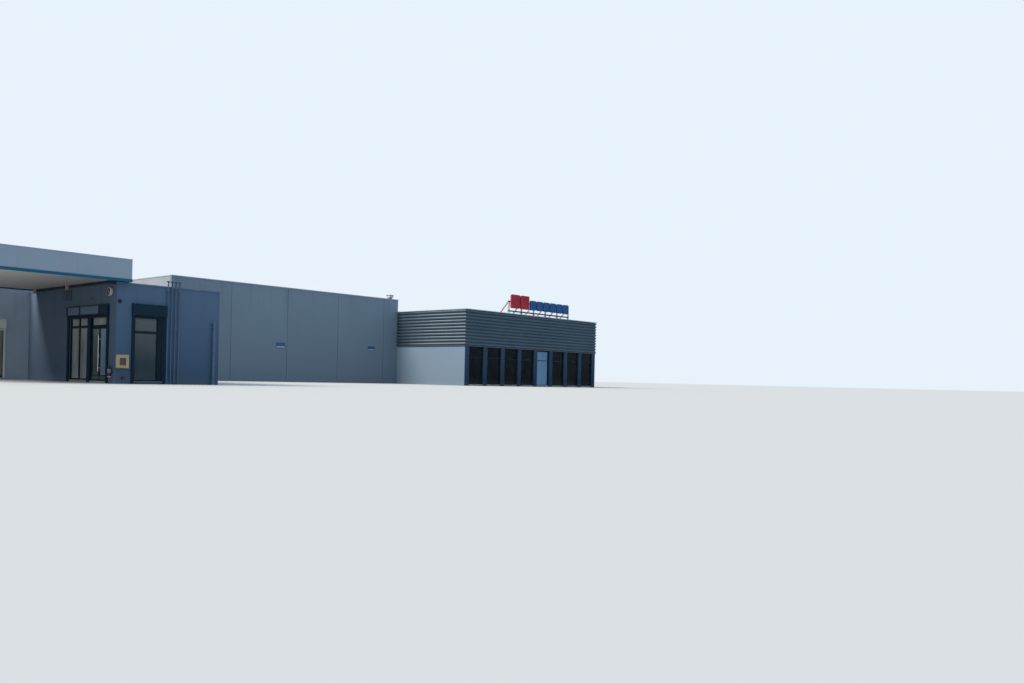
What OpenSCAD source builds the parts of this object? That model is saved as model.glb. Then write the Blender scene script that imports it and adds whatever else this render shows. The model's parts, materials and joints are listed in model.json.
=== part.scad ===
// Supermarket building, a scale model at half the real size.
// All sizes are those of the model. X runs along the street to the right,
// Y runs away from the street and Z is up. The building stands on Z = 0 with
// the middle of its outline over the origin.

/* [Walls and slabs] */
// Thickness of the outer and dividing walls
wall_t = 125; // [110:5:160]
// Thickness of the ground slabs
floor_t = 50; // [40:5:75]
// Thickness of the roof slabs
roof_t = 100; // [80:5:130]
// How far a roof slab bears in a wall
roof_bearing = 50; // [30:5:50]
// Height of the parapets above the roof slabs
parapet_h = 250; // [180:10:320]
// Thickness of the copings
coping_t = 30; // [20:5:45]
// Overhang of the copings on each side of a wall
coping_lip = 20; // [10:5:35]
// Width of the sealed joints between wall panels
joint_w = 14; // [8:2:24]
// Depth of the sealed joints between wall panels
joint_deep = 10; // [6:2:20]

/* [Front wing] */
// Width of the front wing along the street
wing_w = 2700; // [2600:20:3000]
// Depth of the front wing
wing_d = 5250; // [5000:50:5600]
// Height of the front wing's walls
wing_h = 2400; // [2350:10:2500]
// Width of the passage from the wing to the range
wing_passage_w = 1500; // [1200:50:1800]
// Height of the passage from the wing to the range
wing_passage_h = 1350; // [1200:10:1500]
// Height of the heads of the shop openings
shop_head = 1665; // [1600:5:1720]

/* [Rear range] */
// How far the rear range reaches past the wing's canopy side
range_reach = 5000; // [4700:50:5600]
// Depth of the range from its street wall to the hall's street wall
range_d = 4900; // [4500:50:5300]
// Height of the range's walls
range_h = 2600; // [2550:10:2800]
// Width of the recess between the wing and the hall
recess_w = 4000; // [3600:50:4500]

/* [Hall] */
// Width of the tall hall along the street
hall_w = 11150; // [10500:50:12000]
// Depth of the hall
hall_d = 12850; // [12000:50:13500]
// Height of the hall's walls
hall_h = 3885; // [3700:5:4100]
// Distance between the hall's panel joints
hall_panel_w = 2600; // [2200:50:3000]
// Width of a passage in the dividing walls
passage_w = 3000; // [2500:50:3400]
// Height of a passage in the dividing walls
passage_h = 1900; // [1700:10:2000]
// Distance between the middles of the passages
passage_pitch = 3900; // [3700:50:4200]
// Distance from the hall's right side to the first panel joint
hall_first_joint = 850; // [700:10:1100]
// Least width of the last wall panel before a corner
panel_rest = 400; // [300:50:600]

/* [Entrance block] */
// Width of the entrance block along the street
entrance_w = 9610; // [9010:80:10450]
// How far the entrance block stands before the hall
entrance_reach = 4400; // [4000:50:4800]
// Height of the entrance block's walls
entrance_h = 3325; // [3250:5:3450]
// Height of the head of the glazing between the pilasters
entrance_head = 1750; // [1650:10:1850]
// Number of glazed bays in the street front
entrance_bays = 8; // [6:1:9]
// Width of a pilaster
pilaster_w = 250; // [200:10:320]
// How far a pilaster stands before the wall above it
pilaster_proud = 30; // [20:5:60]

/* [Cladding] */
// Spacing of the cladding's ribs
rib_pitch = 140; // [110:5:180]
// Depth of a rib
rib_deep = 35; // [20:5:50]
// Thickness of the cladding sheet behind the ribs
sheet_t = 12; // [8:1:20]

/* [Canopy] */
// Length of the canopy along the street
canopy_l = 5070; // [4800:10:5300]
// How far the canopy laps over the wing
canopy_lap = 270; // [200:10:320]
// Depth of the canopy
canopy_d = 5000; // [4800:50:5040]
// How far the canopy stands before the wing's street wall
canopy_front = 200; // [150:10:300]
// Height of the fascia with the stripe below it
fascia_h = 545; // [450:5:620]
// Height of the coloured stripe at the foot of the fascia
stripe_h = 65; // [50:5:90]
// Thickness of the fascia panels
fascia_t = 20; // [12:1:30]
// How far the stripe stands before the fascia
stripe_proud = 8; // [4:1:15]
// Width of a fascia panel
fascia_panel_w = 1250; // [1000:50:1500]
// Width of a soffit strip
soffit_strip_w = 250; // [200:10:400]
// Width of the grooves between panels and strips
groove_w = 5; // [4:1:10]
// Depth of the grooves between panels and strips
groove_deep = 4; // [3:1:8]
// How far the soffit lies above the foot of the stripe
soffit_up = 45; // [30:5:50]
// Side of a square canopy column
column_w = 150; // [120:10:200]
// Distance from the canopy's middle to its columns, along the street
column_off_x = 1375; // [1200:25:1600]
// Distance from the canopy's middle to each column, in depth
column_off_y = 1200; // [1000:25:1500]

/* [Glazed openings] */
// Distance from the street corner to the doorway
door_start = 450; // [420:10:500]
// Width of the doorway between its piers
door_w = 920; // [880:10:960]
// Height of the underside of the door's transom rail
door_h = 1375; // [1300:5:1420]
// Width of the pier between the doorway and the shop window
pier_w = 190; // [160:5:230]
// Width of the shop window
window_w = 1020; // [940:10:1040]
// Distance from the street corner to the street window
street_x0 = 440; // [420:10:480]
// Width of the street window
street_w = 740; // [700:10:800]
// Width of the street window's blank stile
street_stile_w = 145; // [120:5:200]
// Height of the underside of the street window's transom rail
street_transom_z = 1240; // [1150:5:1300]
// Distance from the wing's side to the range's window
range_window_off = 600; // [550:10:800]
// Width of the range's window
range_window_w = 1900; // [1700:20:2100]
// Height of the head of the range's window
range_window_h = 1385; // [1300:5:1450]
// Visible width of the frame members
frame_w = 40; // [30:2:50]
// Depth of the frames
frame_d = 60; // [50:2:75]
// Distance of the frames behind the wall face
frame_set = 25; // [15:5:35]
// Thickness of the glass panes
glass_t = 8; // [5:1:12]

/* [Wall pipes and canopy bearing] */
// Radius of a vent pipe
vent_pipe_r = 15; // [12:1:20]
// Distance between the vent pipes
vent_pitch = 100; // [90:2:120]
// Distance from the street window's shutter box to the first vent pipe
vent_off = 26; // [26:2:80]
// How far the vent pipes rise over the wall
vent_rise = 150; // [110:5:200]
// Radius of the rain pipe
rain_pipe_r = 35; // [25:1:45]
// Distance from the wing's end to the rain pipe
rain_off = 175; // [120:5:250]
// Height at which the rain pipe leaves the wall
rain_top = 1600; // [1400:10:1800]
// Height of the strip that closes the gap between the wing and the canopy
flashing_h = 70; // [60:5:90]
// Thickness of the closing strip
flashing_t = 16; // [8:2:24]
// Width of a box below the canopy's edge
bracket_w = 85; // [70:5:120]
// Height of a box below the canopy's edge
bracket_h = 115; // [100:5:160]
// Depth of a box below the canopy's edge
bracket_deep = 55; // [40:5:90]
// Distance from the street corner to the middle box
bracket_mid = 2650; // [2500:50:2900]
// Width of the guide rails beside the street window's shutter
street_guide_w = 60; // [40:5:70]
// Width of the guide rails beside the shutter over the doorway and the side window
side_guide_w = 95; // [70:5:110]
// How far the guide rails stand before the wall
guide_t = 26; // [15:1:32]

/* [Door leaves] */
// Thickness of a door leaf
leaf_t = 24; // [20:1:28]
// Width of a leaf's stiles
stile_w = 34; // [28:2:44]
// Height of a leaf's bottom rail
bottom_rail_h = 110; // [80:5:140]
// Gap between a leaf and the frame at its sides
side_gap = 10; // [9:1:14]
// Gap between the leaves and above and below them
leaf_gap = 8; // [7:1:10]
// Radius of the pivot pins
pin_r = 8; // [6:1:9]
// Radial clearance of a pin in its bore
pin_clear = 0.08; // [0.05:0.01:0.1]
// Length of a pin in its bore
pin_in = 14; // [10:1:16]
// Distance from a leaf's hinge edge to its pivot line
pivot_in = 18; // [17:1:22]
// Length of the pull bar
pull_l = 885; // [700:5:950]
// Radius of the pull bar
pull_r = 9; // [7:1:12]
// Distance of the pull bar's middle from the leaf face
pull_off = 38; // [30:2:48]

/* [Roof sign] */
// Height of a red sign tile
red_h = 630; // [560:10:700]
// Height of a blue sign tile
blue_h = 450; // [400:10:540]
// Clear height between the coping and the sign's lower rail
rail_up = 80; // [60:5:120]
// Clear height between the lower rail and the tiles
tile_up = 105; // [80:5:130]
// Thickness of a blank sign tile
tile_t = 70; // [50:5:100]
// Gap between two tiles
tile_gap = 60; // [40:5:90]
// Radius of a tile's corners
tile_r = 70; // [40:5:100]
// Total width of the red tiles
red_w = 1280; // [1100:20:1400]
// Total width of the blue tiles
blue_w = 2950; // [2700:50:3200]
// Side of the sign frame's square tubes
tube_w = 60; // [40:5:80]
// Length of the sign frame's rails
rail_l = 4520; // [4520:50:4800]
// How far the braces reach back to the roof
brace_reach = 800; // [600:20:1000]
// Distance from the end of the rails to the entrance block's right side
rail_end = 2230; // [1900:10:2400]

/* [Hidden] */
$fn = 48;

// Shared small sizes
eps = 1;
wall_blue = [0.33, 0.41, 0.52];
frame_grey = [0.14, 0.17, 0.21];
trim_grey = [0.72, 0.74, 0.77];
teal = [0.0, 0.36, 0.48];

// Plan lines of the blocks
range_x = -range_reach;
range_y = wing_d;
hall_x = wing_w + recess_w;
hall_y = wing_d + range_d;
hall_end = hall_x + hall_w;
back_y = hall_y + hall_d;
entrance_y = hall_y - entrance_reach;
entrance_end = hall_end + entrance_w;

// Heights of the roof slabs' undersides
wing_roof_z = wing_h - parapet_h - roof_t;
range_roof_z = range_h - parapet_h - roof_t;
hall_roof_z = hall_h - parapet_h - roof_t;
entrance_roof_z = entrance_h - parapet_h - roof_t;

// How far the cladding stands before the walls
clad_out = sheet_t + rib_deep;

// The canopy rests on the wing's coping
canopy_z = wing_h + coping_t;
canopy_top = canopy_z + fascia_h;
canopy_end = canopy_lap;
canopy_x = canopy_end - canopy_l;
canopy_y = -canopy_front;
canopy_back = canopy_y + canopy_d;
canopy_mid_x = (canopy_x + canopy_end) / 2;
canopy_mid_y = (canopy_y + canopy_back) / 2;
soffit_z = canopy_z + soffit_up;
soffit_t = 15;
deck_t = 40;
deck_drop = 120;
beam_w = 80;

// The outline's middle, which goes to the origin
low_x = min(range_x - coping_lip, canopy_x - stripe_proud);
low_y = min(canopy_y - stripe_proud, -coping_lip);
high_x = entrance_end + clad_out + coping_lip;
high_y = back_y + coping_lip;
mid = [(low_x + high_x) / 2, (low_y + high_y) / 2, 0];

// Outer face of the strip that closes the gap below the canopy
flashing_x = -coping_lip - flashing_t;

// The doorway and the windows
door_end = door_start + door_w;
window_start = door_end + pier_w;
window_end = window_start + window_w;
sill_h = 20;
head_w = frame_w;
jamb_low = door_start + frame_w;
jamb_high = door_end - frame_w;
leaf_w = (jamb_high - jamb_low - 2 * side_gap - leaf_gap) / 2;
leaf_z = floor_t + sill_h + leaf_gap;
leaf_top = door_h - leaf_gap;
leaf_h = leaf_top - leaf_z;
pivot_x = frame_set + leaf_t / 2;
street_pivot_y = jamb_low + side_gap + pivot_in;
inner_pivot_y = jamb_high - side_gap - pivot_in;

// The street window and the range's window
street_x1 = street_x0 + street_w;
range_window_x = -range_window_off - range_window_w;
street_box_h = 275;
street_box_deep = 75;
side_lights = 2;
range_box_h = 240;
range_box_deep = 60;
header_h = 245;
header_deep = 60;

// Room between the wall pipes and the edge of the coping
pipe_gap = 5;

// The street front of the entrance block
bay_pitch = (entrance_w - pilaster_w) / entrance_bays;
bay_w = bay_pitch - pilaster_w;
bay_frame_w = 30;
bay_transom_z = 1230;

// Box between two opposite corners
module block(low, high) {
    translate(low)
        cube(high - low);
}

// Puts the layout, drawn from the wing's street corner, over the origin
module on_site() {
    translate(-mid)
        children();
}

// Closed slab or wall outline between two corners, as an upright prism
module plate(points, z0, thick) {
    translate([0, 0, z0])
        linear_extrude(thick)
            polygon(points);
}

// Roof slabs, which also cut their own seats in the walls
module wing_roof_slab() {
    inset = wall_t - roof_bearing;
    block([inset, inset, wing_roof_z],
          [wing_w - inset, wing_d + roof_bearing, wing_roof_z + roof_t]);
}

module range_roof_slab() {
    inset = wall_t - roof_bearing;
    plate([
        [range_x + inset, range_y + inset],
        [wing_w - inset, range_y + inset],
        [wing_w - inset, hall_y + inset],
        [hall_x + roof_bearing, hall_y + inset],
        [hall_x + roof_bearing, back_y - inset],
        [range_x + inset, back_y - inset]
    ], range_roof_z, roof_t);
}

module hall_roof_slab() {
    inset = wall_t - roof_bearing;
    block([hall_x + inset, hall_y + inset, hall_roof_z],
          [hall_end - inset, back_y - inset, hall_roof_z + roof_t]);
}

module entrance_roof_slab() {
    inset = wall_t - roof_bearing;
    plate([
        [hall_end + inset, entrance_y + inset],
        [entrance_end - inset, entrance_y + inset],
        [entrance_end - inset, back_y - inset],
        [hall_end - roof_bearing, back_y - inset],
        [hall_end - roof_bearing, hall_y + inset],
        [hall_end + inset, hall_y + inset]
    ], entrance_roof_z, roof_t);
}

// Upright joints cut in a wall face that looks along Y
module joints_y(xs, face_y, height) {
    for (x = xs)
        block([x - joint_w / 2, face_y - joint_deep, floor_t],
              [x + joint_w / 2, face_y + joint_deep, height]);
}

// Upright joints cut in a wall face that looks along X
module joints_x(ys, face_x, height) {
    for (y = ys)
        block([face_x - joint_deep, y - joint_w / 2, floor_t],
              [face_x + joint_deep, y + joint_w / 2, height]);
}

hall_joint_xs = [for (x = hall_end - hall_first_joint; x > hall_x + panel_rest; x = x - hall_panel_w) x];
deep_joint_ys = [for (y = hall_y + hall_panel_w; y < back_y - panel_rest; y = y + hall_panel_w) y];

// Front wing
module wing_front_wall() {
    color(wall_blue)
        on_site()
            difference() {
                block([0, 0, 0], [wing_w, wall_t, wing_h]);
                wing_roof_slab();
                block([street_x0, -eps, floor_t], [street_x1, wall_t + eps, shop_head]);
            }
}

module wing_corner_pier() {
    color(wall_blue)
        on_site()
            difference() {
                block([0, wall_t, 0], [wall_t, door_start, wing_h]);
                wing_roof_slab();
            }
}

module wing_door_pier() {
    color(frame_grey)
        on_site()
            block([0, door_end, 0], [wall_t, window_start, shop_head]);
}

module wing_lintel() {
    color(wall_blue)
        on_site()
            difference() {
                block([0, door_start, shop_head], [wall_t, window_end, wing_h]);
                wing_roof_slab();
            }
}

module wing_left_wall() {
    color(wall_blue)
        on_site()
            difference() {
                block([0, window_end, 0], [wall_t, range_y, wing_h]);
                wing_roof_slab();
            }
}

module wing_right_wall() {
    color(wall_blue)
        on_site()
            difference() {
                block([wing_w - wall_t, wall_t, 0], [wing_w, range_y, wing_h]);
                wing_roof_slab();
            }
}

module wing_roof() {
    color(trim_grey)
        on_site()
            wing_roof_slab();
}

module wing_floor() {
    color("gray")
        on_site()
            plate([
                [wall_t, wall_t], [wing_w - wall_t, wall_t],
                [wing_w - wall_t, range_y], [wall_t, range_y],
                [wall_t, window_end], [0, window_end],
                [0, window_start], [wall_t, window_start],
                [wall_t, door_end], [0, door_end],
                [0, door_start], [wall_t, door_start]
            ], 0, floor_t);
}

// Rear range
module range_front_wall() {
    passage_x = (wing_w - wing_passage_w) / 2;
    color(wall_blue)
        on_site()
            difference() {
                block([range_x, range_y, 0], [wing_w, range_y + wall_t, range_h]);
                range_roof_slab();
                wing_roof_slab();
                block([passage_x, range_y - eps, floor_t],
                      [passage_x + wing_passage_w, range_y + wall_t + eps, floor_t + wing_passage_h]);
                block([range_window_x, range_y - eps, floor_t],
                      [range_window_x + range_window_w, range_y + wall_t + eps, range_window_h]);
            }
}

module range_left_wall() {
    color(wall_blue)
        on_site()
            difference() {
                block([range_x, range_y + wall_t, 0],
                      [range_x + wall_t, back_y - wall_t, range_h]);
                range_roof_slab();
                joints_x(deep_joint_ys, range_x, range_h + eps);
            }
}

// Side wall behind the wing and the wall across the recess to the hall
module range_recess_walls() {
    color(wall_blue)
        on_site()
            difference() {
                plate([
                    [wing_w - wall_t, range_y + wall_t], [wing_w, range_y + wall_t],
                    [wing_w, hall_y], [hall_x, hall_y],
                    [hall_x, hall_y + wall_t], [wing_w - wall_t, hall_y + wall_t]
                ], 0, range_h);
                range_roof_slab();
            }
}

module range_back_wall() {
    xs = [for (x = range_x + hall_panel_w; x < hall_x - panel_rest; x = x + hall_panel_w) x];
    color(wall_blue)
        on_site()
            difference() {
                block([range_x, back_y - wall_t, 0], [hall_x, back_y, range_h]);
                range_roof_slab();
                joints_y(xs, back_y, range_h + eps);
            }
}

module range_roof() {
    color(trim_grey)
        on_site()
            range_roof_slab();
}

module range_floor() {
    color("gray")
        on_site()
            plate([
                [range_x + wall_t, range_y + wall_t],
                [wing_w - wall_t, range_y + wall_t],
                [wing_w - wall_t, hall_y + wall_t],
                [hall_x, hall_y + wall_t],
                [hall_x, back_y - wall_t],
                [range_x + wall_t, back_y - wall_t]
            ], 0, floor_t);
}

// Hall
// Three wide passages through a dividing wall along Y
module passages(x0, x1) {
    for (i = [-1 : 1])
        translate([x0 - eps, hall_y + hall_d / 2 + i * passage_pitch - passage_w / 2, floor_t])
            cube([x1 - x0 + 2 * eps, passage_w, passage_h]);
}

module hall_front_wall() {
    color(wall_blue)
        on_site()
            difference() {
                block([hall_x, hall_y, 0], [hall_end, hall_y + wall_t, hall_h]);
                hall_roof_slab();
                range_roof_slab();
                entrance_roof_slab();
                joints_y(hall_joint_xs, hall_y, hall_h + eps);
            }
}

module hall_left_wall() {
    color(wall_blue)
        on_site()
            difference() {
                block([hall_x, hall_y + wall_t, 0], [hall_x + wall_t, back_y - wall_t, hall_h]);
                hall_roof_slab();
                range_roof_slab();
                passages(hall_x, hall_x + wall_t);
            }
}

module hall_right_wall() {
    color(wall_blue)
        on_site()
            difference() {
                block([hall_end - wall_t, hall_y + wall_t, 0],
                      [hall_end, back_y - wall_t, hall_h]);
                hall_roof_slab();
                entrance_roof_slab();
                passages(hall_end - wall_t, hall_end);
            }
}

module hall_back_wall() {
    color(wall_blue)
        on_site()
            difference() {
                block([hall_x, back_y - wall_t, 0], [hall_end, back_y, hall_h]);
                hall_roof_slab();
                range_roof_slab();
                entrance_roof_slab();
                joints_y(hall_joint_xs, back_y, hall_h + eps);
            }
}

module hall_roof() {
    color(trim_grey)
        on_site()
            hall_roof_slab();
}

module hall_floor() {
    color("gray")
        on_site()
            block([hall_x + wall_t, hall_y + wall_t, 0],
                  [hall_end - wall_t, back_y - wall_t, floor_t]);
}

// Entrance block
module entrance_left_wall() {
    color(wall_blue)
        on_site()
            difference() {
                block([hall_end, entrance_y, 0],
                      [hall_end + wall_t, hall_y + wall_t, entrance_h]);
                entrance_roof_slab();
            }
}

module entrance_front_beam() {
    color(wall_blue)
        on_site()
            difference() {
                block([hall_end + wall_t, entrance_y, entrance_head],
                      [entrance_end - wall_t, entrance_y + wall_t, entrance_h]);
                entrance_roof_slab();
            }
}

// Room taken by the pilasters, before the side walls are cut from it
module pilaster_row() {
    for (i = [0 : entrance_bays])
        translate([hall_end + i * bay_pitch, entrance_y - pilaster_proud, 0])
            cube([pilaster_w, pilaster_proud + wall_t, entrance_head]);
}

// The first and last pilasters wrap round the ends of the side walls
module entrance_pilasters() {
    color(wall_blue)
        on_site()
            difference() {
                pilaster_row();
                for (x = [hall_end, entrance_end - wall_t])
                    block([x - eps, entrance_y, -eps],
                          [x + wall_t + (x > hall_end ? eps : 0), entrance_y + wall_t + eps,
                           entrance_head + eps]);
            }
}

module entrance_right_wall() {
    color(wall_blue)
        on_site()
            difference() {
                block([entrance_end - wall_t, entrance_y, 0],
                      [entrance_end, back_y - wall_t, entrance_h]);
                entrance_roof_slab();
                joints_x(deep_joint_ys, entrance_end, entrance_head);
            }
}

module entrance_back_wall() {
    xs = [for (x = hall_end + hall_panel_w; x < entrance_end - panel_rest; x = x + hall_panel_w) x];
    color(wall_blue)
        on_site()
            difference() {
                block([hall_end, back_y - wall_t, 0], [entrance_end, back_y, entrance_h]);
                entrance_roof_slab();
                joints_y(xs, back_y, entrance_h + eps);
            }
}

module entrance_roof() {
    color(trim_grey)
        on_site()
            entrance_roof_slab();
}

module entrance_floor() {
    color("gray")
        on_site()
            difference() {
                plate([
                    [hall_end + wall_t, entrance_y],
                    [entrance_end - wall_t, entrance_y],
                    [entrance_end - wall_t, back_y - wall_t],
                    [hall_end, back_y - wall_t],
                    [hall_end, hall_y + wall_t],
                    [hall_end + wall_t, hall_y + wall_t]
                ], 0, floor_t);
                pilaster_row();
            }
}

// Room inside a frame in the XZ plane, over and under its transom and between its mullions
module light_rooms(w, z0, z1, transom_z, member, y0, y1, lights) {
    step = (w - member) / lights;
    for (i = [0 : lights - 1]) {
        block([member + i * step, y0, z0 + member], [(i + 1) * step, y1, transom_z]);
        block([member + i * step, y0, transom_z + member], [(i + 1) * step, y1, z1 - member]);
    }
}

module light_frame(w, z0, z1, transom_z, member, deep, lights = 1) {
    difference() {
        block([0, 0, z0], [w, deep, z1]);
        light_rooms(w, z0, z1, transom_z, member, -eps, deep + eps, lights);
    }
}

module light_panes(w, z0, z1, transom_z, member, deep, lights = 1) {
    y = (deep - glass_t) / 2;
    light_rooms(w, z0, z1, transom_z, member, y, y + glass_t, lights);
}

// Left edge of a glazed bay
function bay_x(i) = hall_end + i * bay_pitch + pilaster_w;

module entrance_frames() {
    color(frame_grey)
        on_site()
            for (i = [0 : entrance_bays - 1])
                translate([bay_x(i), entrance_y + frame_set, 0])
                    light_frame(bay_w, floor_t, entrance_head,
                                bay_transom_z, bay_frame_w, frame_d);
}

module entrance_glass() {
    color([0.1, 0.15, 0.2, 0.6])
        on_site()
            for (i = [0 : entrance_bays - 1])
                translate([bay_x(i), entrance_y + frame_set, 0])
                    light_panes(bay_w, floor_t, entrance_head,
                                bay_transom_z, bay_frame_w, frame_d);
}

// Ribbed cladding: one section swept along three sides with mitred corners
clad_h = entrance_h - entrance_head;
rib_count = floor(clad_h / rib_pitch);
rib_step = clad_h / rib_count;

// Section of the cladding: X is outwards and Y is up
module clad_section() {
    slope = rib_step * 0.12;
    crown = rib_step * 0.42;
    valley = rib_step - crown - 2 * slope;
    front = [for (i = [0 : rib_count - 1], p = [
        [sheet_t, i * rib_step + valley / 2],
        [clad_out, i * rib_step + valley / 2 + slope],
        [clad_out, i * rib_step + valley / 2 + slope + crown],
        [sheet_t, i * rib_step + valley / 2 + 2 * slope + crown]
    ]) p];
    polygon(concat([[0, 0], [sheet_t, 0]], front, [[sheet_t, clad_h], [0, clad_h]]));
}

// Straight run of the cladding towards +X, its face to -Y, at the height of its foot
module clad_run(length) {
    translate([0, 0, entrance_head])
        rotate([90, 0, -90])
            mirror([0, 0, 1])
                linear_extrude(length)
                    clad_section();
}

module entrance_cladding() {
    out = clad_out + eps;
    side_l = back_y - entrance_y;
    left_l = hall_y - entrance_y;
    color([0.25, 0.29, 0.34])
        on_site() {
            intersection() {
                translate([hall_end - out, entrance_y, 0])
                    clad_run(entrance_w + 2 * out);
                plate([
                    [hall_end, entrance_y], [hall_end - out, entrance_y - out],
                    [entrance_end + out, entrance_y - out], [entrance_end, entrance_y]
                ], entrance_head - eps, clad_h + 2 * eps);
            }
            intersection() {
                translate([hall_end, hall_y, 0])
                    rotate([0, 0, -90])
                        clad_run(left_l + out);
                plate([
                    [hall_end, hall_y], [hall_end - out, hall_y],
                    [hall_end - out, entrance_y - out], [hall_end, entrance_y]
                ], entrance_head - eps, clad_h + 2 * eps);
            }
            intersection() {
                translate([entrance_end, entrance_y - out, 0])
                    rotate([0, 0, 90])
                        clad_run(side_l + out);
                plate([
                    [entrance_end, entrance_y], [entrance_end + out, entrance_y - out],
                    [entrance_end + out, back_y], [entrance_end, back_y]
                ], entrance_head - eps, clad_h + 2 * eps);
            }
        }
}

// Copings: one ring or strip on the walls of each block
module coping_strip(points, z0) {
    plate(points, z0, coping_t);
}

module ring(x0, y0, x1, y1, z0, thick, inner) {
    difference() {
        block([x0, y0, z0], [x1, y1, z0 + thick]);
        block([x0 + inner, y0 + inner, z0 - eps],
              [x1 - inner, y1 - inner, z0 + thick + eps]);
    }
}

module copings() {
    lip = coping_lip;
    wide = wall_t + 2 * lip;
    color(trim_grey)
        on_site() {
            // The wing's coping stops against the range's street wall
            coping_strip([
                [-lip, range_y], [-lip, -lip], [wing_w + lip, -lip],
                [wing_w + lip, range_y], [wing_w + lip - wide, range_y],
                [wing_w + lip - wide, wide - lip], [wide - lip, wide - lip],
                [wide - lip, range_y]
            ], wing_h);
            // The range's coping stops against the hall
            coping_strip([
                [hall_x, back_y + lip], [range_x - lip, back_y + lip],
                [range_x - lip, range_y - lip], [wing_w + lip, range_y - lip],
                [wing_w + lip, hall_y - lip], [hall_x, hall_y - lip],
                [hall_x, hall_y - lip + wide],
                [wing_w + lip - wide, hall_y - lip + wide],
                [wing_w + lip - wide, range_y - lip + wide],
                [range_x - lip + wide, range_y - lip + wide],
                [range_x - lip + wide, back_y + lip - wide],
                [hall_x, back_y + lip - wide]
            ], range_h);
            ring(hall_x - lip, hall_y - lip, hall_end + lip, back_y + lip,
                 hall_h, coping_t, wide);
            // The entrance block's coping covers the cladding and stops at the hall
            coping_strip([
                [hall_end, hall_y], [hall_end - clad_out - lip, hall_y],
                [hall_end - clad_out - lip, entrance_y - clad_out - lip],
                [entrance_end + clad_out + lip, entrance_y - clad_out - lip],
                [entrance_end + clad_out + lip, back_y + lip],
                [hall_end, back_y + lip], [hall_end, back_y + lip - wide],
                [entrance_end - wall_t - lip, back_y + lip - wide],
                [entrance_end - wall_t - lip, entrance_y + wall_t + lip],
                [hall_end + wall_t + lip, entrance_y + wall_t + lip],
                [hall_end + wall_t + lip, hall_y + wall_t],
                [hall_end, hall_y + wall_t]
            ], entrance_h);
        }
}

// Canopy over the forecourt: two columns carry its free side, the wing's wall the other
module canopy_columns() {
    foot = 30;
    color(trim_grey)
        on_site()
            for (y = [canopy_mid_y - column_off_y, canopy_mid_y + column_off_y])
                translate([canopy_mid_x - column_off_x, y, 0]) {
                    translate([-column_w / 2, -column_w / 2, 0])
                        cube([column_w, column_w, soffit_z]);
                    translate([-column_w / 2 - foot, -column_w / 2 - foot, 0])
                        cube([column_w + 2 * foot, column_w + 2 * foot, foot / 2]);
                }
}

// Soffit of long strips with a shallow groove between them
module canopy_soffit() {
    y0 = canopy_y + fascia_t;
    y1 = canopy_back - fascia_t;
    strips = floor((y1 - y0) / soffit_strip_w);
    step = (y1 - y0) / strips;
    color([0.62, 0.6, 0.57])
        on_site()
            difference() {
                block([canopy_x + fascia_t, y0, soffit_z],
                      [canopy_end - fascia_t, y1, soffit_z + soffit_t]);
                for (i = [1 : strips - 1])
                    block([canopy_x, y0 + i * step - groove_w / 2, soffit_z - eps],
                          [flashing_x - bracket_deep, y0 + i * step + groove_w / 2,
                           soffit_z + groove_deep]);
            }
}

// Roof sheet with two beams over the columns and four across them
module canopy_frame() {
    z0 = soffit_z + soffit_t;
    z1 = canopy_top - deck_drop - deck_t;
    x0 = canopy_x + fascia_t;
    x1 = canopy_end - fascia_t;
    y0 = canopy_y + fascia_t;
    y1 = canopy_back - fascia_t;
    color(trim_grey)
        on_site() {
            block([x0, y0, z1], [x1, y1, z1 + deck_t]);
            for (y = [canopy_mid_y - column_off_y, canopy_mid_y + column_off_y])
                block([x0, y - beam_w / 2, z0], [x1, y + beam_w / 2, z1]);
            for (x = [x0, canopy_mid_x - column_off_x - beam_w / 2,
                      canopy_mid_x + column_off_x - beam_w / 2, x1 - beam_w])
                block([x, y0, z0], [x + beam_w, y1, z1]);
        }
}

// Fascia panels with upright grooves between them and a rolled lip on top
module canopy_fascia() {
    z0 = canopy_z + stripe_h;
    lip_h = 24;
    length_n = round(canopy_l / fascia_panel_w);
    depth_n = round(canopy_d / fascia_panel_w);
    color(trim_grey)
        on_site()
            difference() {
                union() {
                    ring(canopy_x, canopy_y, canopy_end, canopy_back,
                         z0, fascia_h - stripe_h, fascia_t);
                    ring(canopy_x - stripe_proud / 2, canopy_y - stripe_proud / 2,
                         canopy_end + stripe_proud / 2, canopy_back + stripe_proud / 2,
                         canopy_top - lip_h, lip_h, fascia_t + stripe_proud);
                }
                for (i = [1 : length_n - 1], y = [canopy_y, canopy_back])
                    block([canopy_x + i * canopy_l / length_n - groove_w / 2, y - groove_deep, z0 - eps],
                          [canopy_x + i * canopy_l / length_n + groove_w / 2, y + groove_deep,
                           canopy_top - lip_h]);
                for (i = [1 : depth_n - 1], x = [canopy_x, canopy_end])
                    block([x - groove_deep, canopy_y + i * canopy_d / depth_n - groove_w / 2, z0 - eps],
                          [x + groove_deep, canopy_y + i * canopy_d / depth_n + groove_w / 2,
                           canopy_top - lip_h]);
            }
}

module canopy_stripe() {
    color(teal)
        on_site()
            ring(canopy_x - stripe_proud, canopy_y - stripe_proud,
                 canopy_end + stripe_proud, canopy_back + stripe_proud,
                 canopy_z, stripe_h, fascia_t + stripe_proud);
}

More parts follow.
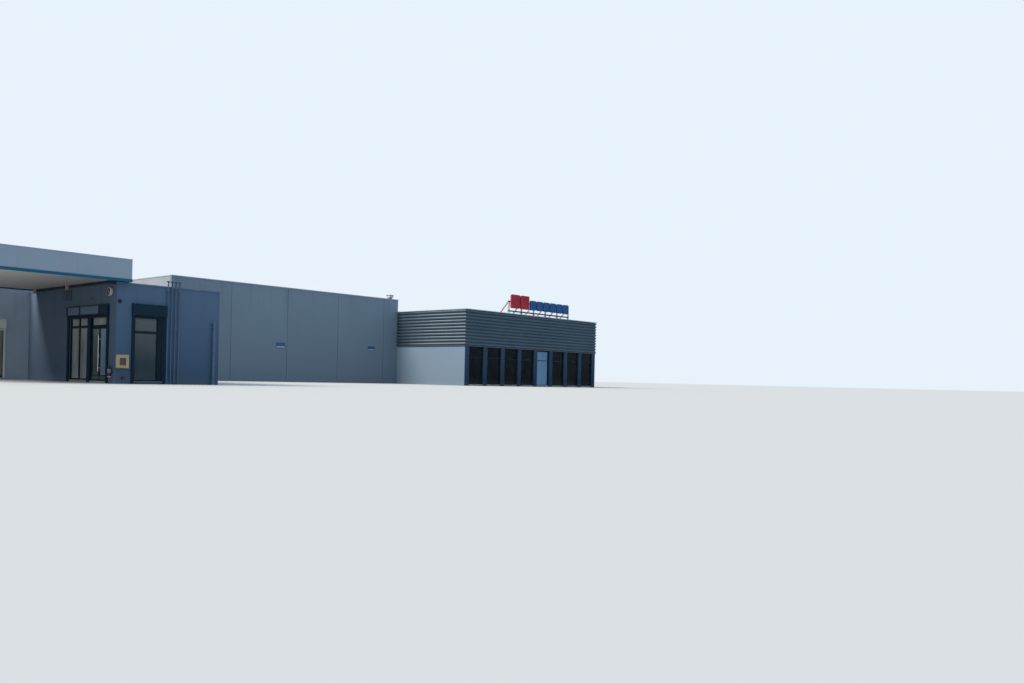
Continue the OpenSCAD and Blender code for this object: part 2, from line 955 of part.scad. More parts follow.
// Doorway frame with its transom light, sill and pivot bores
module door_frame() {
    x0 = frame_set;
    x1 = frame_set + frame_d;
    bore_r = pin_r + pin_clear;
    color(frame_grey)
        on_site()
            difference() {
                block([x0, door_start, floor_t], [x1, door_end, shop_head]);
                block([x0 - eps, jamb_low, floor_t + sill_h], [x1 + eps, jamb_high, door_h]);
                block([x0 - eps, jamb_low, door_h + frame_w],
                      [x1 + eps, jamb_high, shop_head - head_w]);
                for (y = [street_pivot_y, inner_pivot_y]) {
                    translate([pivot_x, y, door_h - eps])
                        cylinder(h = pin_in + 2 + eps, r = bore_r);
                    translate([pivot_x, y, floor_t + sill_h - pin_in - 2])
                        cylinder(h = pin_in + 2 + eps, r = bore_r);
                }
            }
}

module door_top_pane() {
    x = frame_set + (frame_d - glass_t) / 2;
    block([x, jamb_low, door_h + frame_w], [x + glass_t, jamb_high, shop_head - head_w]);
}

// Turns a frame drawn in the XZ plane to face -X, at Y = start
module turned_left(start) {
    translate([frame_set, start, 0])
        mirror([1, -1, 0])
            children();
}

module side_window_frame() {
    turned_left(window_start)
        light_frame(window_w, floor_t, shop_head, door_h, frame_w, frame_d, side_lights);
}

module side_window_panes() {
    turned_left(window_start)
        light_panes(window_w, floor_t, shop_head, door_h, frame_w, frame_d, side_lights);
}

// Dark housings over the doorway and its window, and over the street window, with their guide rails
module shutter_boxes() {
    side0 = door_start - side_guide_w;
    side1 = window_end + side_guide_w;
    front0 = street_x0 - street_guide_w;
    front1 = street_x1 + street_guide_w;
    color(frame_grey)
        on_site() {
            block([-header_deep, side0, shop_head], [0, side1, shop_head + header_h]);
            for (y = [side0, window_end])
                block([-guide_t, y, 0], [0, y + side_guide_w, shop_head]);
            block([front0, -street_box_deep, shop_head], [front1, 0, shop_head + street_box_h]);
            for (x = [front0, street_x1])
                block([x, -guide_t, 0], [x + street_guide_w, 0, shop_head]);
        }
}

// Two blank panels on the side housing
module header_panels() {
    margin = 25;
    thick = 8;
    gap = 75;
    long_l = 1000;
    start = door_start + 370;
    color(trim_grey)
        on_site() {
            block([-header_deep - thick, start, shop_head + margin],
                  [-header_deep, start + long_l, shop_head + header_h - margin]);
            block([-header_deep - thick, start + long_l + gap, shop_head + margin],
                  [-header_deep, window_end - margin, shop_head + header_h - margin]);
        }
}

// Street window with a wide blank stile at its right side
module street_window_frame() {
    translate([street_x0, frame_set, 0])
        difference() {
            block([0, 0, floor_t], [street_x1 - street_x0, frame_d, shop_head]);
            block([frame_w, -eps, floor_t + frame_w],
                  [street_x1 - street_x0 - street_stile_w, frame_d + eps,
                   street_transom_z]);
            block([frame_w, -eps, street_transom_z + frame_w],
                  [street_x1 - street_x0 - street_stile_w, frame_d + eps,
                   shop_head - frame_w]);
        }
}

module street_window_panes() {
    y = frame_set + (frame_d - glass_t) / 2;
    x0 = street_x0 + frame_w;
    x1 = street_x1 - street_stile_w;
    block([x0, y, floor_t + frame_w], [x1, y + glass_t, street_transom_z]);
    block([x0, y, street_transom_z + frame_w], [x1, y + glass_t, shop_head - frame_w]);
}

module range_shutter_box() {
    color("whitesmoke")
        on_site()
            block([range_window_x, range_y - range_box_deep, range_window_h],
                  [range_window_x + range_window_w, range_y, range_window_h + range_box_h]);
}

module range_window_frame() {
    translate([range_window_x, range_y + frame_set, 0])
        difference() {
            block([0, 0, floor_t], [range_window_w, frame_d, range_window_h]);
            for (i = [0 : 1])
                block([frame_w + i * range_window_w / 2 - i * frame_w / 2, -eps,
                       floor_t + frame_w],
                      [(i + 1) * range_window_w / 2 - frame_w / 2 - i * frame_w / 2,
                       frame_d + eps, range_window_h - frame_w]);
        }
}

module range_window_panes() {
    y = range_y + frame_set + (frame_d - glass_t) / 2;
    translate([range_window_x, y, 0])
        for (i = [0 : 1])
            block([frame_w + i * range_window_w / 2 - i * frame_w / 2, 0,
                   floor_t + frame_w],
                  [(i + 1) * range_window_w / 2 - frame_w / 2 - i * frame_w / 2,
                   glass_t, range_window_h - frame_w]);
}

// Upright pipe on the street wall at x, with a clip at each height in zs
module wall_pipe(x, r, z0, z1, zs) {
    off = coping_lip + r + pipe_gap;
    clip_t = 5;
    clip_h = 16;
    translate([x, -off, 0]) {
        translate([0, 0, z0])
            cylinder(h = z1 - z0, r = r);
        for (z = zs)
            translate([-r - clip_t, -r - clip_t, z])
                cube([2 * (r + clip_t), off + r + clip_t, clip_h]);
    }
}

// Four vent pipes on the street wall, each with a tee head
module vent_pipes() {
    r = vent_pipe_r;
    top = wing_h + vent_rise;
    head_l = 32;
    pipes = 4;
    low_clip = 300;
    high_clip = wing_h - 120;
    color(trim_grey)
        on_site()
            for (i = [0 : pipes - 1]) {
                x = street_x1 + street_guide_w + vent_off + i * vent_pitch;
                wall_pipe(x, r, 0, top, [low_clip, (low_clip + high_clip) / 2, high_clip]);
                translate([x - head_l, -coping_lip - r - pipe_gap, top])
                    rotate([0, 90, 0])
                        cylinder(h = 2 * head_l, r = r);
            }
}

// Rain pipe on the street wall, with an elbow from its outlet in the wall
module downpipe() {
    r = rain_pipe_r;
    x = wing_w - rain_off;
    off = coping_lip + r + pipe_gap;
    low_clip = 200;
    high_clip = rain_top - 150;
    color(trim_grey)
        on_site() {
            wall_pipe(x, r, 0, rain_top, [low_clip, (low_clip + high_clip) / 2, high_clip]);
            translate([x, -off, rain_top])
                sphere(r = r);
            translate([x, 0, rain_top])
                rotate([90, 0, 0])
                    cylinder(h = off, r = r);
        }
}

// Rail on the wing's coping that the canopy bears on, the strip that hides it, and three boxes on the strip
module canopy_flashing() {
    y1 = canopy_back - fascia_t;
    color(frame_grey)
        on_site() {
            block([-coping_lip, 0, canopy_z], [wall_t, y1, soffit_z]);
            block([flashing_x, 0, soffit_z - flashing_h], [-coping_lip, y1, soffit_z]);
            for (y = [0, bracket_mid - bracket_w / 2, y1 - bracket_w])
                translate([flashing_x - bracket_deep, y, soffit_z - bracket_h])
                    cube([bracket_deep, bracket_w, bracket_h]);
        }
}

// Extinguisher with its neck and handle, a bell and a water inlet, all on the walls
module fire_point() {
    bottle_r = 45;
    bottle_h = 235;
    bottle_x = -bottle_r - 12;
    bottle_y = 165;
    bottle_z = 160;
    neck_r = 12;
    neck_h = 12;
    shoulder_h = 35;
    bell_r = 45;
    bell_base_t = 18;
    bell_y = door_end - 2 * bell_r;
    bell_z = shop_head + header_h + 150;
    inlet_r = 30;
    inlet_x = 190;
    inlet_z = 140;
    color("firebrick")
        on_site() {
            translate([bottle_x, bottle_y, bottle_z]) {
                rotate_extrude()
                    polygon(concat(
                        [[0, 0], [bottle_r - 5, 0], [bottle_r, 5]],
                        [for (a = [0 : 15 : 75])
                            [neck_r + (bottle_r - neck_r) * cos(a), bottle_h - 45 + shoulder_h * sin(a)]],
                        [[neck_r, bottle_h - 8], [neck_r, bottle_h + neck_h], [0, bottle_h + neck_h]]
                    ));
                // Carrying handle and the bracket to the wall
                translate([-34, -8, bottle_h + neck_h])
                    cube([56, 16, 10]);
                translate([0, -15, 60])
                    cube([-bottle_x, 30, 20]);
            }
            translate([0, bell_y, bell_z])
                rotate([0, -90, 0]) {
                    cylinder(h = bell_base_t, r = bell_r * 0.6);
                    translate([0, 0, bell_base_t])
                        rotate_extrude()
                            polygon(concat([[0, 0]], [for (a = [0 : 15 : 90])
                                [bell_r * cos(a), bell_r * 0.7 * sin(a)]]));
                }
            // Water inlet: wall flange, stub and cap
            translate([inlet_x, 0, inlet_z])
                rotate([90, 0, 0]) {
                    cylinder(h = 12, r = inlet_r + 12);
                    cylinder(h = 45, r = inlet_r);
                    translate([0, 0, 45])
                        cylinder(h = 10, r = inlet_r + 6);
                }
        }
}

// Cabinet on the street wall with a recessed louvred field
module wall_cabinet() {
    w = 300;
    h = 320;
    deep = 50;
    x0 = 12;
    z0 = 370;
    field_w = 146;
    field_h = 174;
    field_deep = 15;
    slats = 8;
    slat_h = 6;
    groove = 3;
    edge = 12;
    color("khaki")
        on_site()
            translate([x0, -deep, z0]) {
                difference() {
                    cube([w, deep, h]);
                    translate([(w - field_w) / 2, -eps, (h - field_h) / 2])
                        cube([field_w, field_deep + eps, field_h]);
                    for (z = [edge, h - edge - groove])
                        translate([edge, -eps, z])
                            cube([w - 2 * edge, groove + eps, groove]);
                }
                for (i = [0 : slats - 1])
                    translate([(w - field_w) / 2, groove, (h - field_h) / 2 + (i + 0.4) * field_h / slats])
                        cube([field_w, field_deep - groove, slat_h]);
            }
}

// Drum lamp near the corner, under the canopy, its lens set back in a rolled rim
module wall_lamp() {
    r = 105;
    deep = 56;
    rim = 22;
    bevel = 8;
    lens_r = r - rim;
    lens_back = 20;
    lens_rise = 14;
    lamp_y = 305;
    lamp_z = 2205;
    color("whitesmoke")
        on_site()
            translate([0, lamp_y, lamp_z])
                rotate([0, -90, 0])
                    rotate_extrude()
                        polygon(concat(
                            [[0, 0], [r - bevel, 0], [r, bevel], [r, deep - bevel],
                             [r - bevel, deep], [lens_r + 4, deep], [lens_r, deep - 4]],
                            [for (a = [0 : 15 : 90])
                                [lens_r * cos(a), deep - lens_back + lens_rise * sin(a)]]
                        ));
}

// Square vent behind the hall's street parapet: a curb, a slotted neck, a hood and a cap
module roof_vent() {
    curb_w = 200;
    neck_w = 140;
    hood_w = 220;
    cap_w = 240;
    z0 = hall_roof_z + roof_t;
    z1 = hall_h + coping_t + 20;
    z2 = z1 + 60;
    z3 = z2 + 80;
    z4 = z3 + 40;
    from_edge = wall_t + coping_lip + cap_w / 2 + 10;
    color(trim_grey)
        on_site()
            translate([hall_end - from_edge, hall_y + from_edge, 0])
                for (part = [[curb_w, z0, z1], [neck_w, z1, z2], [hood_w, z2, z3], [cap_w, z3, z4]])
                    block([-part[0] / 2, -part[0] / 2, part[1]], [part[0] / 2, part[0] / 2, part[2]]);
}

// Roof sign: rails and posts on the coping with braces down to the roof
sign_y = entrance_y + wall_t / 2;
sign_z = entrance_h + coping_t;
rail_x1 = entrance_end - rail_end;
rail_x0 = rail_x1 - rail_l;
rail_z = sign_z + rail_up;
tile_z = rail_z + tube_w + tile_up;
upper_z = tile_z + blue_h * 0.6;
post_count = 6;
post_step = (rail_l - tube_w) / (post_count - 1);

module sign_frame() {
    y0 = sign_y - tube_w / 2;
    roof_z = entrance_roof_z + roof_t;
    brace_y = sign_y + brace_reach;
    color([0.1, 0.3, 0.55])
        on_site() {
            block([rail_x0, y0, rail_z], [rail_x1, y0 + tube_w, rail_z + tube_w]);
            block([rail_x0, y0, upper_z], [rail_x1, y0 + tube_w, upper_z + tube_w]);
            for (i = [0 : post_count - 1]) {
                x = rail_x0 + i * post_step;
                block([x, y0, sign_z], [x + tube_w, y0 + tube_w, upper_z + tube_w]);
                translate([x, 0, 0])
                    rotate([90, 0, 90])
                        linear_extrude(tube_w)
                            polygon([
                                [y0 + tube_w, upper_z], [y0 + tube_w, upper_z + tube_w],
                                [brace_y + tube_w, roof_z], [brace_y, roof_z]
                            ]);
            }
        }
}

// Frames and panes of the three fixed shop windows and of the light over the door
module shop_frames() {
    color(frame_grey)
        on_site() {
            side_window_frame();
            street_window_frame();
            range_window_frame();
        }
}

module shop_glass() {
    color([0.1, 0.15, 0.2, 0.6])
        on_site() {
            door_top_pane();
            side_window_panes();
            street_window_panes();
            range_window_panes();
        }
}

// One blank tile with round corners, its foot at the origin
module sign_tile(w, h) {
    rotate([90, 0, 0])
        linear_extrude(tile_t) {
            translate([tile_r, 0])
                square([w - 2 * tile_r, h]);
            translate([0, tile_r])
                square([w, h - 2 * tile_r]);
            for (x = [tile_r, w - tile_r], y = [tile_r, h - tile_r])
                translate([x, y])
                    circle(r = tile_r);
        }
}

module tile_row(x0, total, count, h) {
    w = (total - (count - 1) * tile_gap) / count;
    for (i = [0 : count - 1])
        translate([x0 + i * (w + tile_gap), sign_y - tube_w / 2, tile_z])
            sign_tile(w, h);
}

// The tiles start a little in from the end of the rails
red_x = rail_x0 + 100;
blue_x = red_x + red_w + tile_gap + 30;

module sign_red_tiles() {
    color("red")
        on_site()
            tile_row(red_x, red_w, 2, red_h);
}

module sign_blue_tiles() {
    color([0.1, 0.3, 0.55])
        on_site()
            tile_row(blue_x, blue_w, 6, blue_h);
}

// Door leaf drawn from its hinge edge towards +Y, its outer face at X = frame_set
module leaf_body() {
    x0 = frame_set;
    x1 = frame_set + leaf_t;
    difference() {
        block([x0, 0, leaf_z], [x1, leaf_w, leaf_top]);
        block([x0 - eps, stile_w, leaf_z + bottom_rail_h],
              [x1 + eps, leaf_w - stile_w, leaf_top - stile_w]);
    }
    translate([pivot_x, pivot_in, leaf_top])
        cylinder(h = leaf_gap + pin_in, r = pin_r);
    translate([pivot_x, pivot_in, leaf_z - leaf_gap - pin_in])
        cylinder(h = leaf_gap + pin_in, r = pin_r);
}

module leaf_pane() {
    x = pivot_x - glass_t / 2;
    block([x, stile_w, leaf_z + bottom_rail_h], [x + glass_t, leaf_w - stile_w, leaf_top - stile_w]);
}

module at_street_leaf() {
    translate([0, jamb_low + side_gap, 0])
        children();
}

module at_inner_leaf() {
    translate([0, jamb_high - side_gap, 0])
        mirror([0, 1, 0])
            children();
}

module street_leaf() {
    color(frame_grey)
        on_site()
            at_street_leaf()
                leaf_body();
}

module street_leaf_glass() {
    color([0.1, 0.15, 0.2, 0.6])
        on_site()
            at_street_leaf()
                leaf_pane();
}

// Upright bar on two short arms that end on the leaf's free stile
module street_leaf_pull() {
    y = leaf_w - stile_w / 2;
    z0 = leaf_z + (leaf_h - pull_l) / 2;
    arm_in = 90;
    color("silver")
        on_site()
            at_street_leaf() {
                translate([frame_set - pull_off, y, z0])
                    cylinder(h = pull_l, r = pull_r);
                for (z = [z0 + arm_in, z0 + pull_l - arm_in])
                    translate([frame_set - pull_off, y, z])
                        rotate([0, 90, 0])
                            cylinder(h = pull_off, r = pull_r * 0.8);
            }
}

module inner_leaf() {
    color(frame_grey)
        on_site()
            at_inner_leaf()
                leaf_body();
}

module inner_leaf_glass() {
    color([0.1, 0.15, 0.2, 0.6])
        on_site()
            at_inner_leaf()
                leaf_pane();
}

wing_front_wall();
wing_corner_pier();
wing_door_pier();
wing_lintel();
wing_left_wall();
wing_right_wall();
wing_roof();
wing_floor();
range_front_wall();
range_left_wall();
range_recess_walls();
range_back_wall();
range_roof();
range_floor();
hall_front_wall();
hall_left_wall();
hall_right_wall();
hall_back_wall();
hall_roof();
hall_floor();
entrance_left_wall();
entrance_front_beam();
entrance_pilasters();
entrance_right_wall();
entrance_back_wall();
entrance_roof();
entrance_floor();
entrance_frames();
entrance_glass();
entrance_cladding();
copings();
canopy_columns();
canopy_frame();
canopy_soffit();
canopy_fascia();
canopy_stripe();
door_frame();
shop_frames();
shop_glass();
shutter_boxes();
header_panels();
range_shutter_box();
canopy_flashing();
vent_pipes();
downpipe();
fire_point();
wall_cabinet();
wall_lamp();
roof_vent();
sign_frame();
sign_red_tiles();
sign_blue_tiles();
street_leaf();
street_leaf_glass();
street_leaf_pull();
inner_leaf();
inner_leaf_glass();
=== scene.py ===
# The look of the supermarket building: finishes, small fittings, camera and light.
import json
import math

import bmesh
import bpy
from mathutils import Matrix, Vector


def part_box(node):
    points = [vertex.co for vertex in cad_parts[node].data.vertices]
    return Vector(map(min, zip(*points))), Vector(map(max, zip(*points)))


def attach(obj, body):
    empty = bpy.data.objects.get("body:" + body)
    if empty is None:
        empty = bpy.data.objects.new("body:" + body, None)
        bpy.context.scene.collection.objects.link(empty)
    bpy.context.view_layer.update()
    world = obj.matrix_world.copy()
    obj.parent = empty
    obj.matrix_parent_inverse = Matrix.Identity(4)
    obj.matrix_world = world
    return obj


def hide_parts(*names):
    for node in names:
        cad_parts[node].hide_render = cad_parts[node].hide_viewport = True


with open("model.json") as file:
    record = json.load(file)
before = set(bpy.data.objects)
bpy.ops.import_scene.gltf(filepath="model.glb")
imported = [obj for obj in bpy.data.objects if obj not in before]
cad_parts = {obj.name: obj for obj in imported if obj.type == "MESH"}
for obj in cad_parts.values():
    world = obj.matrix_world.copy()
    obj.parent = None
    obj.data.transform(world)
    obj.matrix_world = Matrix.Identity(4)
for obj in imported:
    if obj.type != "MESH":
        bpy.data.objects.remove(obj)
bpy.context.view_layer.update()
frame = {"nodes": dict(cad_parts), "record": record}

BUILDING = "building"
# The wing's street corner on the ground. Every place below is given from it, as in the layout:
# X along the street to the right, Y away from the street, Z up, in metres.
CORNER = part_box("wing_front_wall")[0]


def at(x, y, z):
    return CORNER + Vector((x, y, z))


def span(node):
    """Lowest and highest corners of a node, measured from the wing's street corner."""
    low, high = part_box(node)
    return low - CORNER, high - CORNER


class Front:
    """A face of a wall: the axis that crosses it, 0 for X or 1 for Y, and its place on that axis.

    Its outside looks towards lower values. A run is a place along it, and reach is the way out of it."""

    def __init__(self, axis, plane):
        self.axis = axis
        self.plane = plane
        self.out = ((-1, 0, 0), (0, -1, 0))[axis]

    def place(self, run, reach, height):
        across = self.plane - reach
        return ((across, run, height), (run, across, height))[self.axis]

    def step(self, run, up):
        """A move along the face and up it."""
        return ((0, run, up), (run, 0, up))[self.axis]

    def room(self, runs, reaches, heights):
        """Two corners, from the lowest and highest run, reach and height."""
        return self.place(runs[0], max(reaches), heights[0]), self.place(runs[1], min(reaches), heights[1])


# Blocks of the building and the pieces that others line up with
WING_HIGH = span("wing_front_wall")[1]
WALL = WING_HIGH.y
RANGE_LOW = span("range_front_wall")[0]
RANGE_TOP = span("range_front_wall")[1].z
HALL_LOW, HALL_HIGH = span("hall_front_wall")
ENTRANCE_LOW, ENTRANCE_HIGH = span("entrance_front_beam")
BACK = span("hall_back_wall")[1].y
CLAD_LOW, CLAD_HIGH = span("entrance_cladding")
FASCIA_LOW, FASCIA_HIGH = span("canopy_fascia")
STRIPE_TOP = span("canopy_stripe")[1].z
SOFFIT_LOW, SOFFIT_HIGH = span("canopy_soffit")
DOOR_LOW, DOOR_HIGH = span("door_frame")
RANGE_BOX_LOW, RANGE_BOX_HIGH = span("range_shutter_box")
LOWER_RAIL = ENTRANCE_HIGH.z + 0.14
UPPER_RAIL = LOWER_RAIL + 0.435
RIBS = 11

# Faces that carry fittings, and their openings: first and last run, level of the sill, head and transoms
SIDE, STREET, RANGE_FRONT = Front(0, 0.0), Front(1, 0.0), Front(1, RANGE_LOW.y)
SIDE_WINDOW = span("wing_door_pier")[1].y, span("wing_left_wall")[0].y
STREET_WINDOW = 0.44, span("shop_frames")[1].x
RANGE_WINDOW = RANGE_BOX_LOW.x, RANGE_BOX_HIGH.x
FLOOR, SHOP_HEAD, BAR = DOOR_LOW.z, DOOR_HIGH.z, 0.04
TRANSOM, STREET_TRANSOM = (1.375, 1.415), (1.24, 1.28)


class Wire:
    """A shader socket that takes part in sums, so that 1 - mask adds its Math node."""

    def __init__(self, nodes, socket):
        self.nodes = nodes
        self.socket = socket

    def math(self, operation, first, second):
        return self.nodes.node("ShaderNodeMath", {"operation": operation}, {0: first, 1: second})

    def __add__(self, other):
        return self.math("ADD", self, other)

    def __radd__(self, other):
        return self.math("ADD", other, self)

    def __sub__(self, other):
        return self.math("SUBTRACT", self, other)

    def __rsub__(self, other):
        return self.math("SUBTRACT", other, self)

    def __mul__(self, other):
        return self.math("MULTIPLY", self, other)

    def __rmul__(self, other):
        return self.math("MULTIPLY", other, self)

    def __truediv__(self, other):
        return self.math("DIVIDE", self, other)

    def __pow__(self, other):
        return self.math("POWER", self, other)

    def larger(self, other):
        return self.math("MAXIMUM", self, other)

    def wrapped(self, step):
        """The value left over after whole steps, as of a panel or a strip."""
        return self.math("FLOORED_MODULO", self, step)

    def whole(self):
        return self.math("FLOOR", self, 0.0)


class Nodes:
    """The emptied node tree of a material or a world, and the calls that add nodes to it."""

    def __init__(self, owner, output):
        owner.use_nodes = True
        self.tree = owner.node_tree
        self.tree.nodes.clear()
        self.output = self.tree.nodes.new(output)

    def fill(self, socket, value):
        if isinstance(value, Wire):
            self.tree.links.new(value.socket, socket)
        else:
            socket.default_value = value

    def node(self, kind, settings=None, values=None, out=0):
        """Any node: its settings first, then the values or links of its sockets."""
        made = self.tree.nodes.new(kind)
        for key, value in (settings or {}).items():
            setattr(made, key, value)
        for key, value in (values or {}).items():
            self.fill(made.inputs[key], value)
        return Wire(self, made.outputs[out])

    def seen_directly(self):
        """1 for rays that the camera, a reflection or glass sends, and 0 for light that bounces."""
        first, second, third = [self.node("ShaderNodeLightPath", out=name)
                                for name in ("Is Camera Ray", "Is Glossy Ray", "Is Transmission Ray")]
        return first.larger(second).larger(third)


class Paint(Nodes):
    """A finish: its material, its shader and the patterns that colour it."""

    def __init__(self, name, color, roughness=0.5, metallic=0.0, gloss=0.2):
        self.material = bpy.data.materials.new(name)
        super().__init__(self.material, "ShaderNodeOutputMaterial")
        self.shader = self.tree.nodes.new("ShaderNodeBsdfPrincipled")
        self.tree.links.new(self.shader.outputs[0], self.output.inputs[0])
        self.color = color
        self.put("Base Color", (*color, 1))
        self.put("Roughness", roughness)
        self.put("Metallic", metallic)
        self.put("Specular IOR Level", gloss)
        self.place = self.node("ShaderNodeTexCoord", out="Object")

    def put(self, name, value):
        """Sets or links one socket of the shader."""
        self.fill(self.shader.inputs[name], value)

    def axes(self):
        """The three coordinates of a point, from the wing's street corner."""
        moved = self.node("ShaderNodeVectorMath", {"operation": "SUBTRACT"}, {0: self.place, 1: tuple(CORNER)})
        split = self.node("ShaderNodeSeparateXYZ", None, {0: moved})
        return [Wire(self, split.socket.node.outputs[i]) for i in range(3)]

    def noise(self, scale, detail=4.0, stretch=(1, 1, 1)):
        """Noise with the given number of lumps a metre, stretched along the axes."""
        vector = self.node("ShaderNodeVectorMath", {"operation": "MULTIPLY"}, {0: self.place, 1: stretch})
        return self.node("ShaderNodeTexNoise", None,
                         {"Vector": vector, "Scale": scale, "Detail": detail, "Roughness": 0.55})

    def dice(self, value):
        """A fixed random number for each whole value."""
        return self.node("ShaderNodeTexWhiteNoise", {"noise_dimensions": "1D"}, {"W": value})

    def fade(self, value, start, end):
        """0 at start and 1 at end, held outside them."""
        return self.node("ShaderNodeMapRange", {"clamp": True}, {0: value, 1: start, 2: end, 3: 0.0, 4: 1.0})

    def marks(self, scale, detail, start, end, stretch=(1, 1, 1)):
        """Patches: the part of a noise above start, full from end on."""
        return self.fade(self.noise(scale, detail, stretch), start, end)

    def within(self, value, low, high, soft):
        """1 between low and high, with soft edges outside them."""
        return self.fade(value, low - soft, low) * self.fade(value, high + soft, high)

    def blend(self, mask, first, second):
        """Colour first where the mask is 0 and second where it is 1."""
        pair = [c if isinstance(c, Wire) else (*c, 1) for c in (first, second)]
        return self.node("ShaderNodeMix", {"data_type": "RGBA"}, {0: mask, 6: pair[0], 7: pair[1]}, out=2)

    def finished(self, layers, roughness, relief=None, distance=0.0, strength=0.0):
        """Lays pairs of mask and colour over the finish's own colour, and puts roughness and relief.

        A number in place of a colour is a share of the finish's own; the relief's distance is in metres."""
        coat = self.color
        for mask, over in layers:
            coat = self.blend(mask, coat, shade(self.color, over) if isinstance(over, float) else over)
        self.put("Base Color", coat)
        self.put("Roughness", roughness)
        if relief:
            self.put("Normal", self.node("ShaderNodeBump", None,
                                         {"Strength": strength, "Distance": distance, "Height": relief}))
        return self.material


def shade(color, share):
    """The colour darkened to a share of itself."""
    return tuple(c * share for c in color)


def dusty(color, share=0.5):
    """The colour under a film of pale dust."""
    return tuple(c * (1 - share) + 0.26 * share for c in color)


# Finishes of the walls, roofs and floors
def painted_render(name, color, top, panel=2.6, first=0.0, painted_foot_shade=0.8, painted_bounce_face=None):
    """Smooth painted render: tone by panel, cloudy patches, rain runs below the coping, a dusty foot, and painted shade
    from a lighter top to a darker foot.

    A face that the canopy shelters has its own colour, which is painted bounce light: the last argument holds its axis,
    its place and that colour."""
    paint = Paint(name, color, 0.7, gloss=0.12)
    x, y, z = paint.axes()
    tone = paint.dice(((x - first) / panel).whole() + ((y - 0.15) / panel).whole() * 7)
    patches = paint.marks(0.45, 5, 0.38, 0.66)
    runs = paint.marks(1.0, 5, 0.5, 0.76, (4.2, 4.2, 0.13))
    below = paint.fade(z + paint.noise(1.4, 3, (2, 2, 0.2)) * 0.9, top - 1.3, top + 0.25)
    foot = paint.fade(z + paint.noise(2.0, 4) * 0.16, 0.3, 0.06)
    # Painted shade: the render is mixed lighter towards the top and darker towards the foot.
    layers = [(1.0, 1.1), (paint.fade(z, top - 0.3, 0.3), painted_foot_shade)]
    # Painted bounce light: the face under the canopy takes the colour given for it.
    if painted_bounce_face:
        axis, plane, painted_bounce_color = painted_bounce_face
        layers.append((paint.fade((x, y, z)[axis], plane + 0.006, plane + 0.002), painted_bounce_color))
    layers += [(patches * 0.4, 0.87), (tone * 0.3, 0.84), (runs * below * 0.5, 0.66),
               (below * 0.18, dusty(color, 0.3)), (foot * 0.3, dusty(color, 0.3))]
    return paint.finished(layers, 0.62 + patches * 0.16, paint.noise(42, 5) + paint.noise(4, 3) * 0.6, 0.004, 0.6)


def roof_membrane(name, color):
    """Welded roofing sheet: laps a metre apart, ponding marks and grit."""
    paint = Paint(name, color, 0.8)
    x, y = paint.axes()[:2]
    lap = paint.fade(x.wrapped(1.0), 0.955, 0.97)
    end_lap = paint.fade((y + paint.dice(x.whole()) * 4).wrapped(4.0), 3.96, 3.975)
    seam = lap.larger(end_lap)
    ponds = paint.marks(0.35, 6, 0.5, 0.62)
    rim = paint.within(paint.noise(0.35, 6), 0.485, 0.5, 0.012)
    layers = [(ponds * 0.5, 0.68), (rim * 0.3, dusty(color)), (paint.marks(9, 6, 0.55, 0.75) * 0.35, 0.78),
              (seam * 0.5, 0.5)]
    return paint.finished(layers, 0.7 + ponds * 0.15, seam * 0.8 + paint.noise(30, 4) * 0.35, 0.006, 0.8)


def ground_slab(name, color):
    """Power-floated concrete with cloudy patches, sawn joints and fine pits."""
    paint = Paint(name, color, 0.75)
    x, y = paint.axes()[:2]
    saw = paint.fade(x.wrapped(2.0), 1.985, 1.99) + paint.fade(y.wrapped(2.0), 1.985, 1.99)
    clouds = paint.marks(0.7, 6, 0.35, 0.68)
    pits = paint.marks(26, 4, 0.6, 0.72)
    layers = [(clouds * 0.6, 0.74), (pits * 0.35, 0.55), (paint.fade(saw, 0, 1) * 0.7, 0.3)]
    return paint.finished(layers, 0.66 + clouds * 0.14, 1 - pits, 0.003, 0.5)


# Finishes of metal, glass and plastic
def coated_metal(name, color, roughness=0.38, dust=0.25, ripple=0.0, gloss=0.25):
    """Powder-coated sheet with soft dust, a fine orange peel and slight ripples."""
    paint = Paint(name, color, roughness, 0.1, gloss)
    clouds = paint.marks(1.3, 5, 0.42, 0.7)
    layers = [(clouds * dust, 0.78), (paint.marks(1.0, 4, 0.55, 0.8, (5, 5, 0.4)) * dust, dusty(color, 0.45))]
    peel = paint.noise(160, 2) * 0.3 + paint.noise(0.9, 2, (1, 1, 2.4)) * ripple
    return paint.finished(layers, roughness + clouds * 0.14, peel, 0.004, 0.5)


def ribbed_sheet(name, color, painted_highlight):
    """Dark folded sheet with grime and dust runs; painted shade darkens its valleys and its whole left return, and
    painted highlights pale the upper slopes of that return beyond the hall's painted shadow.
    """
    step = (CLAD_HIGH.z - CLAD_LOW.z) / RIBS
    paint = Paint(name, color, 0.45, 0.1, 0.12)
    x, y, z = paint.axes()
    place = (z - CLAD_LOW.z).wrapped(step)
    crown = paint.within(place, step * 0.26, step * 0.74, step * 0.06)
    slope = paint.within(place, step * 0.66, step * 0.84, step * 0.05)
    # Painted shade over the left return, the face the lamp lights.
    painted_shade_side = paint.fade(x, HALL_HIGH.x + 0.01, HALL_HIGH.x - 0.01)
    # Painted sunlight: the part of the left return beyond the hall's painted shadow, where the upper slopes get painted
    # highlights.
    bare = painted_shade_side * paint.fade(y + paint.noise(1.2, 3) * 0.8, HALL_LOW.y - 0.3, HALL_LOW.y - 1.9)
    grime = paint.marks(0.8, 5, 0.4, 0.7, (1, 1, 3))
    runs = paint.marks(1.0, 5, 0.55, 0.8, (6, 6, 0.3))
    sheet = paint.dice((x / 3.0).whole() + (y / 3.0).whole() * 5)
    # Painted shade in the valleys, deeper on the left return, and painted highlights on the upper slopes.
    layers = [(painted_shade_side, 0.6), (grime * 0.3, 0.75), (sheet * 0.2, 0.8), ((1 - crown) * (0.55 + painted_shade_side * 0.3), 0.38),
              (runs * 0.2, dusty(color, 0.25)), (slope * (0.12 + bare * 0.8), painted_highlight)]
    return paint.finished(layers, 0.42 + grime * 0.2, paint.noise(70, 3, (0.05, 0.05, 1)), 0.003, 0.4)


